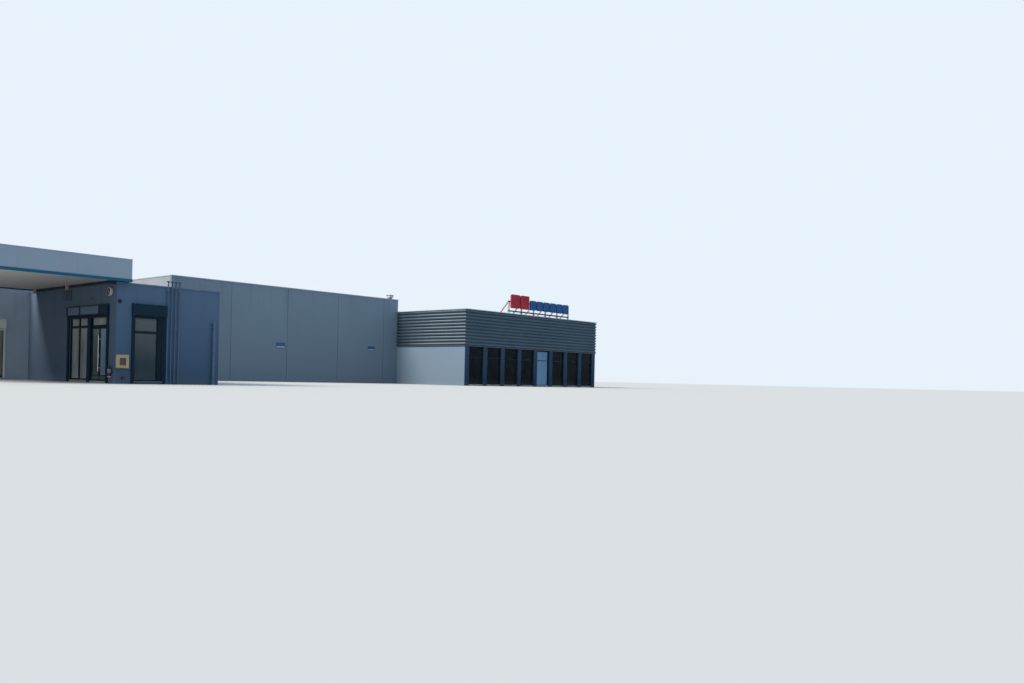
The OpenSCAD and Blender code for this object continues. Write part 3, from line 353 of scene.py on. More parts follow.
def shop_pane(name, color, head, clear=0.5, gloss=0.3, side=None):
    """Tinted float glass, with a painted reflection that pales it towards its head, dusty at its foot; side is the
    colour of painted reflections on the canopy's side.
    """
    paint = Paint(name, color, 0.04, 0.0, gloss)
    x, z = paint.axes()[::2]
    dust = paint.marks(3.0, 5, 0.45, 0.75)
    foot = paint.fade(z + dust * 0.1, 0.42, 0.06)
    # Painted reflection: paler towards the head.
    layers = [(paint.fade(z, 0.5, 1.6), head)]
    # Painted reflections in patches on the pane at the canopy's side.
    if side:
        painted_reflection_patches = paint.marks(3.0, 2, 0.3, 0.7, (1, 1, 0.3))
        layers.append((paint.fade(x, 0.12, 0.10) * (0.55 + painted_reflection_patches * 0.45), side))
    layers.append((dust * 0.06 + foot * 0.08, (0.2, 0.22, 0.24)))
    paint.put("Alpha", 1 - clear + foot * 0.1)
    return paint.finished(layers, 0.03 + dust * 0.07)


def strip_panel(name, color):
    """Folded soffit strips with soft stains, a fine long grain, and painted shade that darkens them towards the wall.
    """
    paint = Paint(name, color, 0.5, 0.1)
    stains = paint.marks(0.6, 5, 0.42, 0.66)
    # Painted shade: darker towards the wing's wall.
    layers = [(stains * 0.35, 0.8), (paint.fade(paint.axes()[0], -3.4, 0.1) * 0.8, 0.55)]
    return paint.finished(layers, 0.45 + stains * 0.2, paint.noise(40, 3, (0.08, 1, 1)), 0.003, 0.4)


def moulded_face(name, color, roughness=0.28, coat_weight=0.1):
    """Moulded sign plastic: a gloss skin with fine dust and faint flow marks."""
    paint = Paint(name, color, roughness, 0.0, 0.25)
    haze = paint.marks(2.2, 5, 0.44, 0.72)
    layers = [(haze * 0.2, dusty(color, 0.08)), (paint.marks(1.0, 4, 0.56, 0.8, (7, 7, 0.5)) * 0.3, 0.75)]
    paint.put("Coat Weight", coat_weight)
    return paint.finished(layers, roughness + haze * 0.2, paint.noise(8, 3), 0.002, 0.3)


def satin_steel(name, color):
    """Satin stainless bar, brushed along its height."""
    paint = Paint(name, color, 0.28, 1.0)
    brush = paint.noise(120, 3, (1, 1, 0.03))
    return paint.finished([(1 - brush, 0.85)], 0.2 + brush * 0.18, brush, 0.0006, 0.4)


def gasket_rubber(name, color):
    """Matt black rubber, greyed by chalking."""
    paint = Paint(name, color, 0.65)
    chalk = paint.marks(14, 4, 0.45, 0.7)
    return paint.finished([(chalk * 0.4, (0.07, 0.075, 0.08))], 0.6 + chalk * 0.2, paint.noise(200, 2), 0.001, 0.3)


# Finishes of single nodes, whose colour changes with the place on them
def wall_pipes(name, color):
    """Painted steel pipes, worn at the clips, and darkened above the coping by painted shade."""
    paint = Paint(name, color, 0.5, 0.15)
    worn = paint.marks(7, 5, 0.55, 0.72)
    # Painted shade: the pipes darken where they rise above the coping.
    over = paint.fade(paint.axes()[2], WING_HIGH.z, WING_HIGH.z + 0.05)
    layers = [(worn * 0.35, dusty(color, 0.4)), (over * 0.85, (0.045, 0.06, 0.085))]
    return paint.finished(layers, 0.45 + worn * 0.2, paint.noise(60, 3), 0.002, 0.4)


def bearing_strip(name, color, pale):
    """Closing strip, dark as painted shade of the gap it fills; the two boxes away from the street are pale."""
    # Its dark colour stands in for the shadow in the gap under the soffit: painted shade.
    paint = Paint(name, color, 0.5, 0.1)
    x, y = paint.axes()[:2]
    strip_x = -0.036
    box = paint.fade(x, strip_x - 0.001, strip_x - 0.003) * paint.fade(y, 0.5, 0.6)
    grime = paint.marks(6, 5, 0.45, 0.7)
    return paint.finished([(box, pale), (grime * 0.4, 0.7)], 0.5 + grime * 0.2, paint.noise(50, 3), 0.002, 0.4)


def fire_enamel(name, color):
    """Red enamel with a pale blank band round the bottle, a black neck and a dark bell."""
    paint = Paint(name, color, 0.32)
    x, z = paint.axes()[::2]
    bottle = paint.fade(x, -0.003, -0.006) * paint.fade(z, 1.0, 0.9)
    chips = paint.marks(22, 5, 0.62, 0.7)
    layers = [(bottle * 0.7, (0.03, 0.006, 0.014)),
              (bottle * paint.within(z, 0.255, 0.32, 0.002), (0.15, 0.19, 0.28)),
              (bottle * paint.fade(z, 0.382, 0.386), (0.02, 0.02, 0.022)),
              (paint.fade(z, 1.5, 1.6), (0.055, 0.02, 0.022)), (chips * 0.5, (0.09, 0.05, 0.045))]
    paint.put("Coat Weight", 0.3)
    return paint.finished(layers, 0.3 + chips * 0.3, paint.noise(40, 3), 0.001, 0.3)


def cabinet_enamel(name, color):
    """Cream enamel round a darker louvred field, rust at the foot and grime in the corners."""
    low, high = span("wall_cabinet")
    middle, field_w, field_h = (low + high) / 2, 0.146, 0.174
    paint = Paint(name, color, 0.45)
    x, z = paint.axes()[::2]
    field = (paint.within(x, middle.x - field_w / 2, middle.x + field_w / 2, 0.002)
             * paint.within(z, middle.z - field_h / 2, middle.z + field_h / 2, 0.002))
    grime = paint.marks(9, 6, 0.42, 0.68)
    rust = paint.fade(z + paint.noise(12, 4) * 0.05, low.z + 0.05, low.z + 0.015)
    layers = [(grime * 0.4, 0.62), (field * 0.9, (0.075, 0.08, 0.085)), (field * grime * 0.7, (0.2, 0.2, 0.19)),
              (rust * 0.7, (0.16, 0.07, 0.03))]
    return paint.finished(layers, 0.42 + grime * 0.25, paint.noise(60, 4), 0.002, 0.4)


def lamp_moulding(name, color):
    """Pale drum lamp with a smoked lens, darkened towards its foot by painted shade."""
    low, high = span("wall_lamp")
    middle, lens = (low + high) / 2, (high.z - low.z) / 2 - 0.022
    paint = Paint(name, color, 0.35)
    y, z = paint.axes()[1:]
    off = ((y - middle.y) ** 2 + (z - middle.z) ** 2) ** 0.5
    glass = paint.fade(off, lens + 0.003, lens)
    # Painted shade on the lamp's lower half.
    painted_lower_shade = paint.fade(z + paint.noise(8, 4) * 0.1, middle.z + 0.02, low.z)
    paint.put("Coat Weight", 0.3)
    return paint.finished([(painted_lower_shade * 0.5, 0.45), (glass, (0.03, 0.032, 0.035))], 0.4 - glass * 0.25,
                          paint.noise(30, 3), 0.001, 0.3)


def roof_cowl(name, color):
    """Light sheet-metal cowl with a dark cap, and a dark band at its slot that is painted shade."""
    top = span("roof_vent")[1].z
    paint = Paint(name, color, 0.45, 0.2)
    z = paint.axes()[2]
    rust = paint.marks(11, 5, 0.56, 0.72)
    # Painted shade inside the slot behind the blades.
    layers = [(paint.within(z, top - 0.18, top - 0.12, 0.002), (0.03, 0.035, 0.04)),
              (paint.fade(z, top - 0.041, top - 0.039) * 0.8, (0.09, 0.1, 0.11)), (rust * 0.35, (0.2, 0.12, 0.08))]
    return paint.finished(layers, 0.45 + rust * 0.2, paint.noise(40, 3), 0.002, 0.4)


def sign_tube(name, color, posts):
    """Painted tubes: blue rails on pale posts and braces."""
    paint = Paint(name, color, 0.4, 0.1)
    y, z = paint.axes()[1:]
    half, middle = 0.031, ENTRANCE_LOW.y + WALL / 2
    lower, upper = [paint.within(z, rail - half, rail + half, 0.001) for rail in (LOWER_RAIL, UPPER_RAIL)]
    behind = paint.fade(y, middle + 0.04, middle + 0.03)
    grime = paint.marks(7, 5, 0.45, 0.7)
    layers = [(1.0, posts), ((lower + upper) * behind, color), (grime * 0.3, 0.7)]
    return paint.finished(layers, 0.4 + grime * 0.2, paint.noise(60, 3), 0.002, 0.4)


def folded_coping(name, color, wall_color):
    """Folded sheet on the walls: light, but painted like the wall round the wing."""
    paint = Paint(name, color, 0.42, 0.2)
    wing = paint.fade(paint.axes()[2], WING_HIGH.z + 0.06, WING_HIGH.z + 0.05)
    clouds = paint.marks(1.3, 5, 0.42, 0.7)
    runs = paint.marks(1.0, 4, 0.5, 0.76, (6, 6, 0.6))
    layers = [(wing, wall_color), (clouds * 0.35, 0.7), (runs * 0.3, (0.2, 0.22, 0.24))]
    return paint.finished(layers, 0.4 + clouds * 0.16,
                          paint.noise(0.9, 2, (1, 1, 2.4)) + paint.noise(90, 2) * 0.2, 0.004, 0.5)


WING_BLUE = (0.080, 0.145, 0.245)
FINISHES = {
    "wall_paint": painted_render("wall_render", (0.18, 0.25, 0.33), HALL_HIGH.z, first=HALL_HIGH.x - 0.85),
    "roof_sheet": roof_membrane("roof_membrane", (0.40, 0.42, 0.44)),
    "floor_slab": ground_slab("ground_slab", (0.34, 0.33, 0.31)),
    "dark_frame": coated_metal("slate_frame", (0.005, 0.017, 0.034), 0.4, 0.08, gloss=0.1),
    "dark_box": coated_metal("dark_blue_box", (0.006, 0.024, 0.046), 0.42, 0.08, 0.5, gloss=0.1),
    # Tinted glass: its head colour and its side colour are painted reflections.
    "window_glass": shop_pane("tinted_glass", (0.012, 0.045, 0.068), (0.145, 0.165, 0.18), 0.3,
                              side=(0.46, 0.47, 0.45)),
    # The ribbed sheet's last colour is its painted highlight.
    "cladding_metal": ribbed_sheet("ribbed_sheet", (0.064, 0.112, 0.16), (0.30, 0.32, 0.36)),
    "coping_metal": folded_coping("coping_sheet", (0.42, 0.48, 0.53), WING_BLUE),
    "canopy_metal": coated_metal("silver_blue_panel", (0.265, 0.34, 0.44), 0.36, 0.2, 0.8),
    "soffit_panel": strip_panel("soffit_strips", (0.74, 0.72, 0.69)),
    "teal_stripe": moulded_face("teal_stripe", (0.0, 0.10, 0.19), 0.5, 0.0),
    "blank_panel": moulded_face("grey_panel", (0.108, 0.16, 0.217)),
    "white_box": coated_metal("white_box", (0.74, 0.75, 0.74), 0.4, 0.2),
    "pipe_paint": wall_pipes("blue_grey_pipe", (0.075, 0.135, 0.225)),
    "sign_metal": sign_tube("sign_tube", (0.004, 0.055, 0.20), (0.42, 0.40, 0.36)),
    "red_sheet": moulded_face("red_face", (0.36, 0.012, 0.03), 0.45, 0.0),
    "blue_sheet": moulded_face("blue_face", (0.002, 0.07, 0.24), 0.45, 0.0),
    "bar_steel": satin_steel("satin_bar", (0.66, 0.67, 0.68)),
    "red_paint": fire_enamel("red_enamel", (0.11, 0.01, 0.016)),
    "lamp_shell": lamp_moulding("lamp_shell", (0.6, 0.62, 0.64)),
    "cabinet_paint": cabinet_enamel("cream_enamel", (0.50, 0.39, 0.24)),
}

# Nodes whose finish differs from the others of their slot
# The wing's foot is darker still (painted shade) and its face under the canopy greyer (painted bounce light). The
# range's render is mixed lighter overall and its street face under the canopy much paler: painted bounce light.
WING_RENDER = painted_render("wing_render", WING_BLUE, WING_HIGH.z, 3.1, painted_foot_shade=0.7,
                             painted_bounce_face=(0, 0.0, (0.105, 0.14, 0.185)))
RANGE_RENDER = painted_render("range_render", (0.27, 0.32, 0.385), RANGE_TOP,
                              painted_bounce_face=(1, RANGE_LOW.y, (0.56, 0.65, 0.80)))
OWN_FINISH = {
    # The hall's left face takes a paler render: painted sunlight on the side the lamp lights.
    "hall_left_wall": painted_render("painted_sunlit_render", (0.28, 0.31, 0.355), HALL_HIGH.z),
    # Pilasters: a darker blue paint, darkened further as painted shade.
    "entrance_pilasters": painted_render("dark_pilaster", (0.015, 0.05, 0.11), CLAD_LOW.z, 1.17, HALL_HIGH.x),
    # The canopy's closing strip: dark as painted shade.
    "canopy_flashing": bearing_strip("bearing_strip", (0.02, 0.028, 0.036), (0.46, 0.43, 0.36)),
    # Bay glass: near black and barely glossy, painted shade.
    "entrance_glass": shop_pane("bay_glass", (0.003, 0.006, 0.010), (0.008, 0.014, 0.02), 0.25, 0.05),
    # Door glass: the second colour is a painted reflection at the head.
    "street_leaf_glass": shop_pane("satin_glass", (0.17, 0.25, 0.33), (0.24, 0.33, 0.42), 0.12, 0.5),
    "inner_leaf_glass": shop_pane("clear_glass", (0.12, 0.14, 0.15), (0.2, 0.22, 0.23), 0.25, 0.5),
    "canopy_columns": coated_metal("column_paint", (0.22, 0.27, 0.33), 0.42, 0.35),
    "roof_vent": roof_cowl("vent_cowl", (0.50, 0.54, 0.58)),
}
for block_name, finish in (("wing", WING_RENDER), ("range", RANGE_RENDER)):
    for node_name in frame["nodes"]:
        if node_name.startswith(block_name) and node_name.endswith(("wall", "walls", "corner_pier", "lintel")):
            OWN_FINISH[node_name] = finish

SLOT_OF = {row["node"]: row["material_slot"] for row in frame["record"]["subparts"]}
for node_name, node_object in frame["nodes"].items():
    node_object.data.materials.clear()
    node_object.data.materials.append(OWN_FINISH.get(node_name, FINISHES[SLOT_OF[node_name]]))

# Finishes of small fittings
SMALL = {
    "gasket": gasket_rubber("gasket", (0.012, 0.013, 0.015)),
    "sealant": gasket_rubber("joint_sealant", (0.035, 0.05, 0.07)),
    "zinc": coated_metal("zinc_fixing", (0.42, 0.44, 0.46), 0.35, 0.4),
    "bare_plate": coated_metal("bare_plate", (0.06, 0.085, 0.11), 0.4, 0.4),
    "pale_pane": moulded_face("pale_pane", (0.10, 0.23, 0.40), 0.3),
    "plate_blue": moulded_face("plate_blue", (0.03, 0.10, 0.22), 0.35),
    "plate_strip": moulded_face("plate_strip", (0.35, 0.42, 0.5), 0.35),
    "drip_edge": coated_metal("drip_edge", (0.20, 0.27, 0.35), 0.36, 0.2),
    "black_plastic": moulded_face("black_plastic", (0.015, 0.016, 0.018), 0.4, 0.0),
}


# Modelling helpers: places are given from the wing's street corner
def clear_selection():
    if bpy.context.mode != "OBJECT":
        bpy.ops.object.mode_set(mode="OBJECT")
    bpy.ops.object.select_all(action="DESELECT")


def hold(piece):
    """Makes one piece the only selected and active one."""
    clear_selection()
    bpy.context.view_layer.objects.active = piece
    piece.select_set(True)


def settled(name):
    """Applies the place of the active object, so that it sits at the origin, and names it."""
    piece = bpy.context.object
    bpy.ops.object.transform_apply(location=True, rotation=True, scale=True)
    piece.name = name
    piece.data.name = name
    return piece


def block(name, low, high):
    """A cube primitive that fills the room between two corners."""
    clear_selection()
    low, high = at(*low), at(*high)
    bpy.ops.mesh.primitive_cube_add(size=1, location=(low + high) / 2, scale=high - low)
    return settled(name)


def rod(name, start, end, radius, sides=16):
    """A cylinder primitive between two points."""
    clear_selection()
    start, end = at(*start), at(*end)
    turn = (end - start).to_track_quat("Z", "Y").to_euler()
    bpy.ops.mesh.primitive_cylinder_add(vertices=sides, radius=radius, depth=(end - start).length,
                                        location=(start + end) / 2, rotation=turn)
    return settled(name)


def modify(piece, kind, **values):
    """Adds one modifier and applies it."""
    hold(piece)
    made = piece.modifiers.new(kind.lower(), kind)
    for key, value in values.items():
        setattr(made, key, value)
    bpy.ops.object.modifier_apply(modifier=made.name)
    return piece


def rounded(piece, width, segments=2):
    return modify(piece, "BEVEL", width=width, segments=segments, limit_method="ANGLE")


def row(piece, count, step):
    """Repeats a piece count times, each a step further on."""
    return modify(piece, "ARRAY", count=count, use_relative_offset=False, use_constant_offset=True,
                  constant_offset_displace=step)


def edit(piece, kind, wanted):
    """Opens a piece in edit mode with the faces or edges selected that the test accepts."""
    hold(piece)
    bpy.ops.object.mode_set(mode="EDIT")
    bpy.ops.mesh.select_mode(type=kind)
    bpy.ops.mesh.select_all(action="DESELECT")
    mesh = bmesh.from_edit_mesh(piece.data)
    if kind == "FACE":
        for face in mesh.faces:
            face.select_set(bool(wanted(face.calc_center_median() - CORNER, face.normal)))
    else:
        for edge in mesh.edges:
            first, second = (vert.co - CORNER for vert in edge.verts)
            edge.select_set(bool(wanted((first + second) / 2, (second - first).normalized())))
    mesh.select_flush_mode()
    bmesh.update_edit_mesh(piece.data)


def leave_edit():
    bpy.ops.object.mode_set(mode="OBJECT")


def facing(axis, sign=-1):
    """A test for faces that look along one axis."""
    return lambda center, normal: normal[axis] * sign > 0.9


def inset(piece, wanted, *steps):
    """Insets the wanted faces by each width in turn, and sinks them (below 0) or raises them."""
    edit(piece, "FACE", wanted)
    for width, rise in steps:
        bpy.ops.mesh.inset(thickness=width, depth=rise)
    leave_edit()
    return piece


def sloped(piece, front, reach, top, drop):
    """Lowers the upper outer edge of a block, so that its top sheds water."""
    edit(piece, "EDGE", lambda middle, along: (abs(middle[front.axis] - front.plane + reach) < 0.001
                                               and abs(middle.z - top) < 0.001))
    bpy.ops.transform.translate(value=(0, 0, -drop))
    leave_edit()
    return piece


def band(name, low, high, axis, thick):
    """A closed ring in the room between two corners, open along one axis and thick inwards."""
    piece = block(name, low, high)
    edit(piece, "FACE", lambda center, normal: abs(normal[axis]) > 0.9)
    bpy.ops.mesh.delete(type="FACE")
    leave_edit()
    return modify(piece, "SOLIDIFY", thickness=thick, offset=-1, use_even_offset=True)


def drawn(points):
    """Opens edit mode on one new vertex, draws a line through the points and selects it."""
    clear_selection()
    bpy.ops.mesh.primitive_plane_add(size=0.01, location=(0, 0, 0))
    bpy.ops.object.mode_set(mode="EDIT")
    bpy.ops.mesh.select_mode(type="VERT")
    bpy.ops.mesh.select_all(action="SELECT")
    bpy.ops.mesh.merge(type="CENTER")
    bpy.ops.transform.translate(value=points[0])
    for start, end in zip(points, points[1:]):
        bpy.ops.mesh.extrude_region_move(TRANSFORM_OT_translate={"value": end - start})
    bpy.ops.mesh.select_all(action="SELECT")


def swept(name, points, sweep, thick, closed=False):
    """A sheet: a line through the points, swept by a vector and given its thickness."""
    line = [at(*point) for point in points]
    drawn(line + line[:1] if closed else line)
    bpy.ops.mesh.extrude_region_move(TRANSFORM_OT_translate={"value": Vector(sweep)})
    bpy.ops.mesh.select_all(action="SELECT")
    bpy.ops.mesh.remove_doubles(threshold=0.0004)
    bpy.ops.mesh.normals_make_consistent(inside=False)
    leave_edit()
    return modify(settled(name), "SOLIDIFY", thickness=thick, offset=0, use_even_offset=True)


def traced(name, points, foot, tall, thick, closed=False):
    """An upright sheet over a line in plan."""
    return swept(name, [(x, y, foot) for x, y in points], (0, 0, tall), thick, closed)


def lathe(name, foot, axis, profile, sides=24):
    """A turned form: pairs of radius and height along an axis, spun round it from its foot."""
    drawn([Vector((radius, 0, height)) for radius, height in profile])
    bpy.ops.mesh.spin(steps=sides, angle=math.tau, center=(0, 0, 0), axis=(0, 0, 1))
    bpy.ops.mesh.select_all(action="SELECT")
    bpy.ops.mesh.remove_doubles(threshold=0.0002)
    bpy.ops.mesh.fill_holes(sides=0)
    bpy.ops.mesh.normals_make_consistent(inside=False)
    leave_edit()
    piece = bpy.context.object
    piece.rotation_euler = Vector(axis).to_track_quat("Z", "Y").to_euler()
    piece.location = at(*foot)
    return settled(name)


def joined(name, pieces):
    """Several modelled pieces as one."""
    clear_selection()
    for piece in pieces:
        piece.select_set(True)
    bpy.context.view_layer.objects.active = pieces[0]
    bpy.ops.object.join()
    pieces[0].name = name
    pieces[0].data.name = name
    return pieces[0]


def copies(piece, moves):
    """One piece of copies of a modelled one, each moved and with its own mesh."""
    made = []
    for move in moves:
        twin = piece.copy()
        twin.data = piece.data.copy()
        twin.data.transform(move if isinstance(move, Matrix) else Matrix.Translation(Vector(move)))
        bpy.context.collection.objects.link(twin)
        made.append(twin)
    name = piece.name
    bpy.data.objects.remove(piece)
    return joined(name, made)


def turned(place, degrees, axis="Z"):
    """A turn round an upright or level line through a place."""
    middle = at(*place)
    return Matrix.Translation(middle) @ Matrix.Rotation(math.radians(degrees), 4, axis) @ Matrix.Translation(-middle)


def dressed(piece, slot, finish=None, body=BUILDING, smooth=40):
    """Gives a finished piece its material and its body."""
    hold(piece)
    bpy.ops.object.shade_smooth_by_angle(angle=math.radians(smooth))
    piece.data.materials.clear()
    piece.data.materials.append(SMALL[finish] if finish else FINISHES[slot])
    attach(piece, body)
    return piece


def hex_bolt(name, foot, axis, radius, tall):
    """A washer, a six-sided nut and the end of its bolt."""
    foot, axis = Vector(foot), Vector(axis) * tall
    washer = rounded(rod(name, foot, foot + axis * 0.25, radius * 1.35, 12), tall * 0.06, 1)
    nut = rounded(rod(name + "_nut", foot + axis * 0.25, foot + axis * 0.75, radius, 6), radius * 0.12, 1)
    end = rounded(rod(name + "_end", foot + axis * 0.7, foot + axis, radius * 0.5, 10), radius * 0.1, 1)
    return joined(name, [washer, nut, end])


def screw_head(name, foot, axis, radius):
    """A low domed screw head."""
    foot, axis = Vector(foot), Vector(axis)
    return rounded(rod(name, foot, foot + axis * radius * 0.5, radius, 10), radius * 0.3, 2)


def beads(name, low, high, axis):
    """Glazing beads: a chamfered ring inside a frame, against the glass."""
    return rounded(band(name, low, high, axis, 0.009), 0.0025, 1)


# Doorway: trims ride on the leaf they are fixed to
def leaf_trims(body, node):
    """Glazing beads on both faces of a leaf, and its kick plate on eight screws."""
    low, high = span(node)
    pane_low, pane_high = span(node + "_glass")
    lip, edge, thick = 0.003, 0.012, 0.0025
    parts = [beads("leaf_bead", (x0, pane_low.y, pane_low.z), (x1, pane_high.y, pane_high.z), 0)
             for x0, x1 in ((low.x + lip, pane_low.x), (pane_high.x, high.x - lip))]
    dressed(joined(node + "_beads", parts), "dark_frame", "gasket", body)
    foot, head = low.z + 0.026, pane_low.z - edge
    plate = block(node + "_kick_plate", (low.x - thick, low.y + edge, foot), (low.x, high.y - edge, head))
    inset(plate, facing(0), (0.006, 0.0), (0.001, -0.0006))
    screw = screw_head("kick_screw", (low.x - thick, low.y + 2 * edge, foot + 0.01), (-1, 0, 0), 0.0032)
    wide, tall = high.y - low.y - 4 * edge, head - foot - 0.02
    screws = copies(screw, [(0, i * wide / 3, k * tall) for i in range(4) for k in range(2)])
    dressed(joined(node + "_kick_plate", [rounded(plate, 0.0008), screws]), "dark_frame", "bare_plate", body)


def inner_leaf_lock():
    """Lock case and cylinder on the inner leaf's free stile."""
    low = span("inner_leaf")[0]
    y, z = low.y + 0.017, 0.62
    case = block("inner_leaf_lock", (low.x - 0.004, y - 0.011, z), (low.x, y + 0.011, z + 0.1))
    rounded(inset(case, facing(0), (0.0025, 0.0), (0.0008, -0.0005)), 0.001)
    keyway = lathe("lock_cylinder", (low.x - 0.003, y, z + 0.036), (-1, 0, 0),
                   [(0, 0), (0.0085, 0), (0.0085, 0.004), (0.0065, 0.006), (0.0025, 0.006), (0.002, 0.0045),
                    (0, 0.0045)], 20)
    dressed(joined("inner_leaf_lock", [case, keyway]), "bar_steel", None, "inner_door")


def pull_fittings():
    """Round plates where the bar's arms meet the leaf, and caps on the bar's ends."""
    low, high = span("street_leaf_pull")
    leaf_face = span("street_leaf")[0].x
    y, arm, cap_in = (low.y + high.y) / 2, 0.09, 0.012
    plate = lathe("arm_plates", (leaf_face, y, low.z + arm), (-1, 0, 0),
                  [(0, 0), (0.015, 0), (0.015, 0.003), (0.0125, 0.006), (0.0075, 0.007), (0.0075, 0.009),
                   (0, 0.009)], 24)
    parts = [copies(plate, [(0, 0, 0), (0, 0, high.z - low.z - 2 * arm)])]
    for z, way in ((high.z - cap_in, 1), (low.z + cap_in, -1)):
        parts.append(lathe("bar_cap", (leaf_face - 0.038, y, z), (0, 0, way),
                           [(0.009, 0), (0.0105, 0.001), (0.0105, 0.011), (0.008, 0.014), (0, 0.015)], 24))
    dressed(joined("pull_fittings", parts), "bar_steel", None, "street_door")


def doorway():
    leaf_trims("street_door", "street_leaf")
    leaf_trims("inner_door", "inner_leaf")
    inner_leaf_lock()
    pull_fittings()
    jamb0, jamb1 = DOOR_LOW.y + BAR, DOOR_HIGH.y - BAR
    top = beads("top_light_beads", (0.043, jamb0, TRANSOM[1]), (0.051, jamb1, SHOP_HEAD - BAR), 0)
    dressed(top, "dark_frame", "gasket")
    # Ribbed threshold plate under the leaves
    sill, thick = span("street_leaf")[0].z - 0.008, 0.002
    plate = rounded(block("threshold", (DOOR_LOW.x + 0.003, jamb0 + 0.002, sill),
                          (DOOR_HIGH.x - 0.003, jamb1 - 0.002, sill + thick)), 0.0008)
    rib = rounded(block("threshold_rib", (DOOR_LOW.x + 0.008, jamb0 + 0.008, sill + thick),
                        (DOOR_LOW.x + 0.011, jamb1 - 0.008, sill + 2 * thick)), 0.0009)
    dressed(joined("threshold", [plate, row(rib, 6, (0.008, 0, 0))]), "bar_steel")


# Fixed shop windows
def halves(opening):
    """The two lights of an opening that has a bar at both ends and one in its middle."""
    start, end = opening
    middle = (start + end) / 2
    return (start + BAR, middle - BAR / 2), (middle + BAR / 2, end - BAR)


def shop_beads():
    """Beads in the lights of the side window, the street window and the range's window."""
    foot, head = FLOOR + BAR, SHOP_HEAD - BAR
    street = STREET_WINDOW[0] + BAR, span("shop_glass")[1].x
    lights = [(SIDE, runs, heights) for runs in halves(SIDE_WINDOW)
              for heights in ((foot, TRANSOM[0]), (TRANSOM[1], head))]
    lights += [(STREET, street, heights) for heights in ((foot, STREET_TRANSOM[0]), (STREET_TRANSOM[1], head))]
    lights += [(RANGE_FRONT, runs, (foot, RANGE_BOX_LOW.z - BAR)) for runs in halves(RANGE_WINDOW)]
    parts = [beads("shop_bead", *front.room(runs, (-0.041, -0.051), heights), front.axis)
             for front, runs, heights in lights]
    dressed(joined("shop_beads", parts), "dark_frame", "gasket")


def shop_sills():
    """Sloped sheet sills that shed water before the fixed windows."""
    reach, top = 0.03, FLOOR + 0.012
    parts = []
    for front, opening in ((SIDE, SIDE_WINDOW), (STREET, STREET_WINDOW), (RANGE_FRONT, RANGE_WINDOW)):
        sill = block("shop_sill", *front.room(opening, (reach, -reach), (FLOOR, top)))
        parts.append(rounded(sloped(sill, front, reach, top, 0.008), 0.001, 1))
    dressed(joined("shop_sills", parts), "coping_metal", "zinc")


def stile_panel():
    """Blank stile panel of the street window, folded at its edges."""
    panel = block("stile_panel", *STREET.room((1.047, 1.168), (-0.0195, -0.025), (0.075, 1.64)))
    dressed(rounded(inset(panel, facing(1), (0.008, 0.0), (0.003, -0.0025)), 0.0008), "dark_frame")


# Roller shutters: nothing moves here
def curtain_foot(name, front, runs, reach, foot):
    """The rolled curtain's bottom rail and its last two slats; reach is that of the rail's back."""
    deep, tall = 0.016, 0.020
    rail = rounded(block(name, *front.room(runs, (reach, reach + deep), (foot, foot + tall))), 0.003)
    slat = block("curtain_slat", *front.room(runs, (reach + deep / 4, reach + deep * 3 / 4),
                                             (foot + tall + 0.0005, foot + tall + 0.0215)))
    return joined(name, [rail, row(rounded(slat, 0.004, 2), 2, (0, 0, 0.0215))])


# Dark housings: wall, opening below, width of a guide, depth and height of the box, screws in a row, their pitch
HOUSINGS = (
    (SIDE, (DOOR_LOW.y, SIDE_WINDOW[1]), 0.095, 0.060, 0.245, 6, 0.4537),
    (STREET, STREET_WINDOW, 0.060, 0.075, 0.275, 4, 0.27),
)


def shutter_parts():
    """End plates, folded lips, guide lips, screws and curtain feet of the two dark housings."""
    foot, end_t, lip = SHOP_HEAD, 0.004, 0.012
    plates, screws = [], []
    for front, opening, guide, deep, tall, count, pitch in HOUSINGS:
        start, end = opening[0] - guide, opening[1] + guide
        for run in (start - end_t, end):
            plate = block("end_plate", *front.room((run, run + end_t), (0, deep + 0.003),
                                                   (foot - 0.003, foot + tall + 0.003)))
            plates.append(rounded(plate, 0.0015, 2))
        for z in (foot, foot + tall - lip):
            fold = block("front_lip", *front.room((start, end), (deep - 0.002, deep + 0.0035), (z, z + lip)))
            plates.append(rounded(fold, 0.002, 2))
        for channel in (start, end - guide):
            for run in (channel + 0.001, channel + guide - lip - 0.001):
                fold = block("guide_lip", *front.room((run, run + lip), (0.024, 0.031), (0.012, foot - 0.002)))
                plates.append(rounded(fold, 0.0015, 1))
        screw = screw_head("front_screws", front.place(start + 0.025, deep + 0.0035, foot + lip / 2), front.out, 0.004)
        screws.append(copies(screw, [front.step(i * pitch, k * (tall - lip)) for i in range(count) for k in range(2)]))
    dressed(joined("shutter_trims", plates), "dark_box")
    dressed(joined("shutter_screws", screws), "dark_box", "zinc")
    for name, (front, opening, *_) in zip(("side_curtain", "street_curtain"), HOUSINGS):
        runs = opening[0] + 0.002, opening[1] - 0.002
        dressed(curtain_foot(name, front, runs, 0.005, SHOP_HEAD - 0.065), "dark_box")


def header_trims():
    """Thin folded rims round the two blank panels of the side housing."""
    low, high = span("header_panels")
    rim, gap = 0.004, (1.82, 1.895)
    parts = [rounded(band("header_rim", *SIDE.room((start - rim, end + rim), (0.0600, 0.0715),
                                                   (low.z - rim, high.z + rim)), 0, 0.010), 0.0015, 1)
             for start, end in ((low.y, gap[0]), (gap[1], high.y))]
    dressed(joined("header_rims", parts), "blank_panel", "bare_plate")


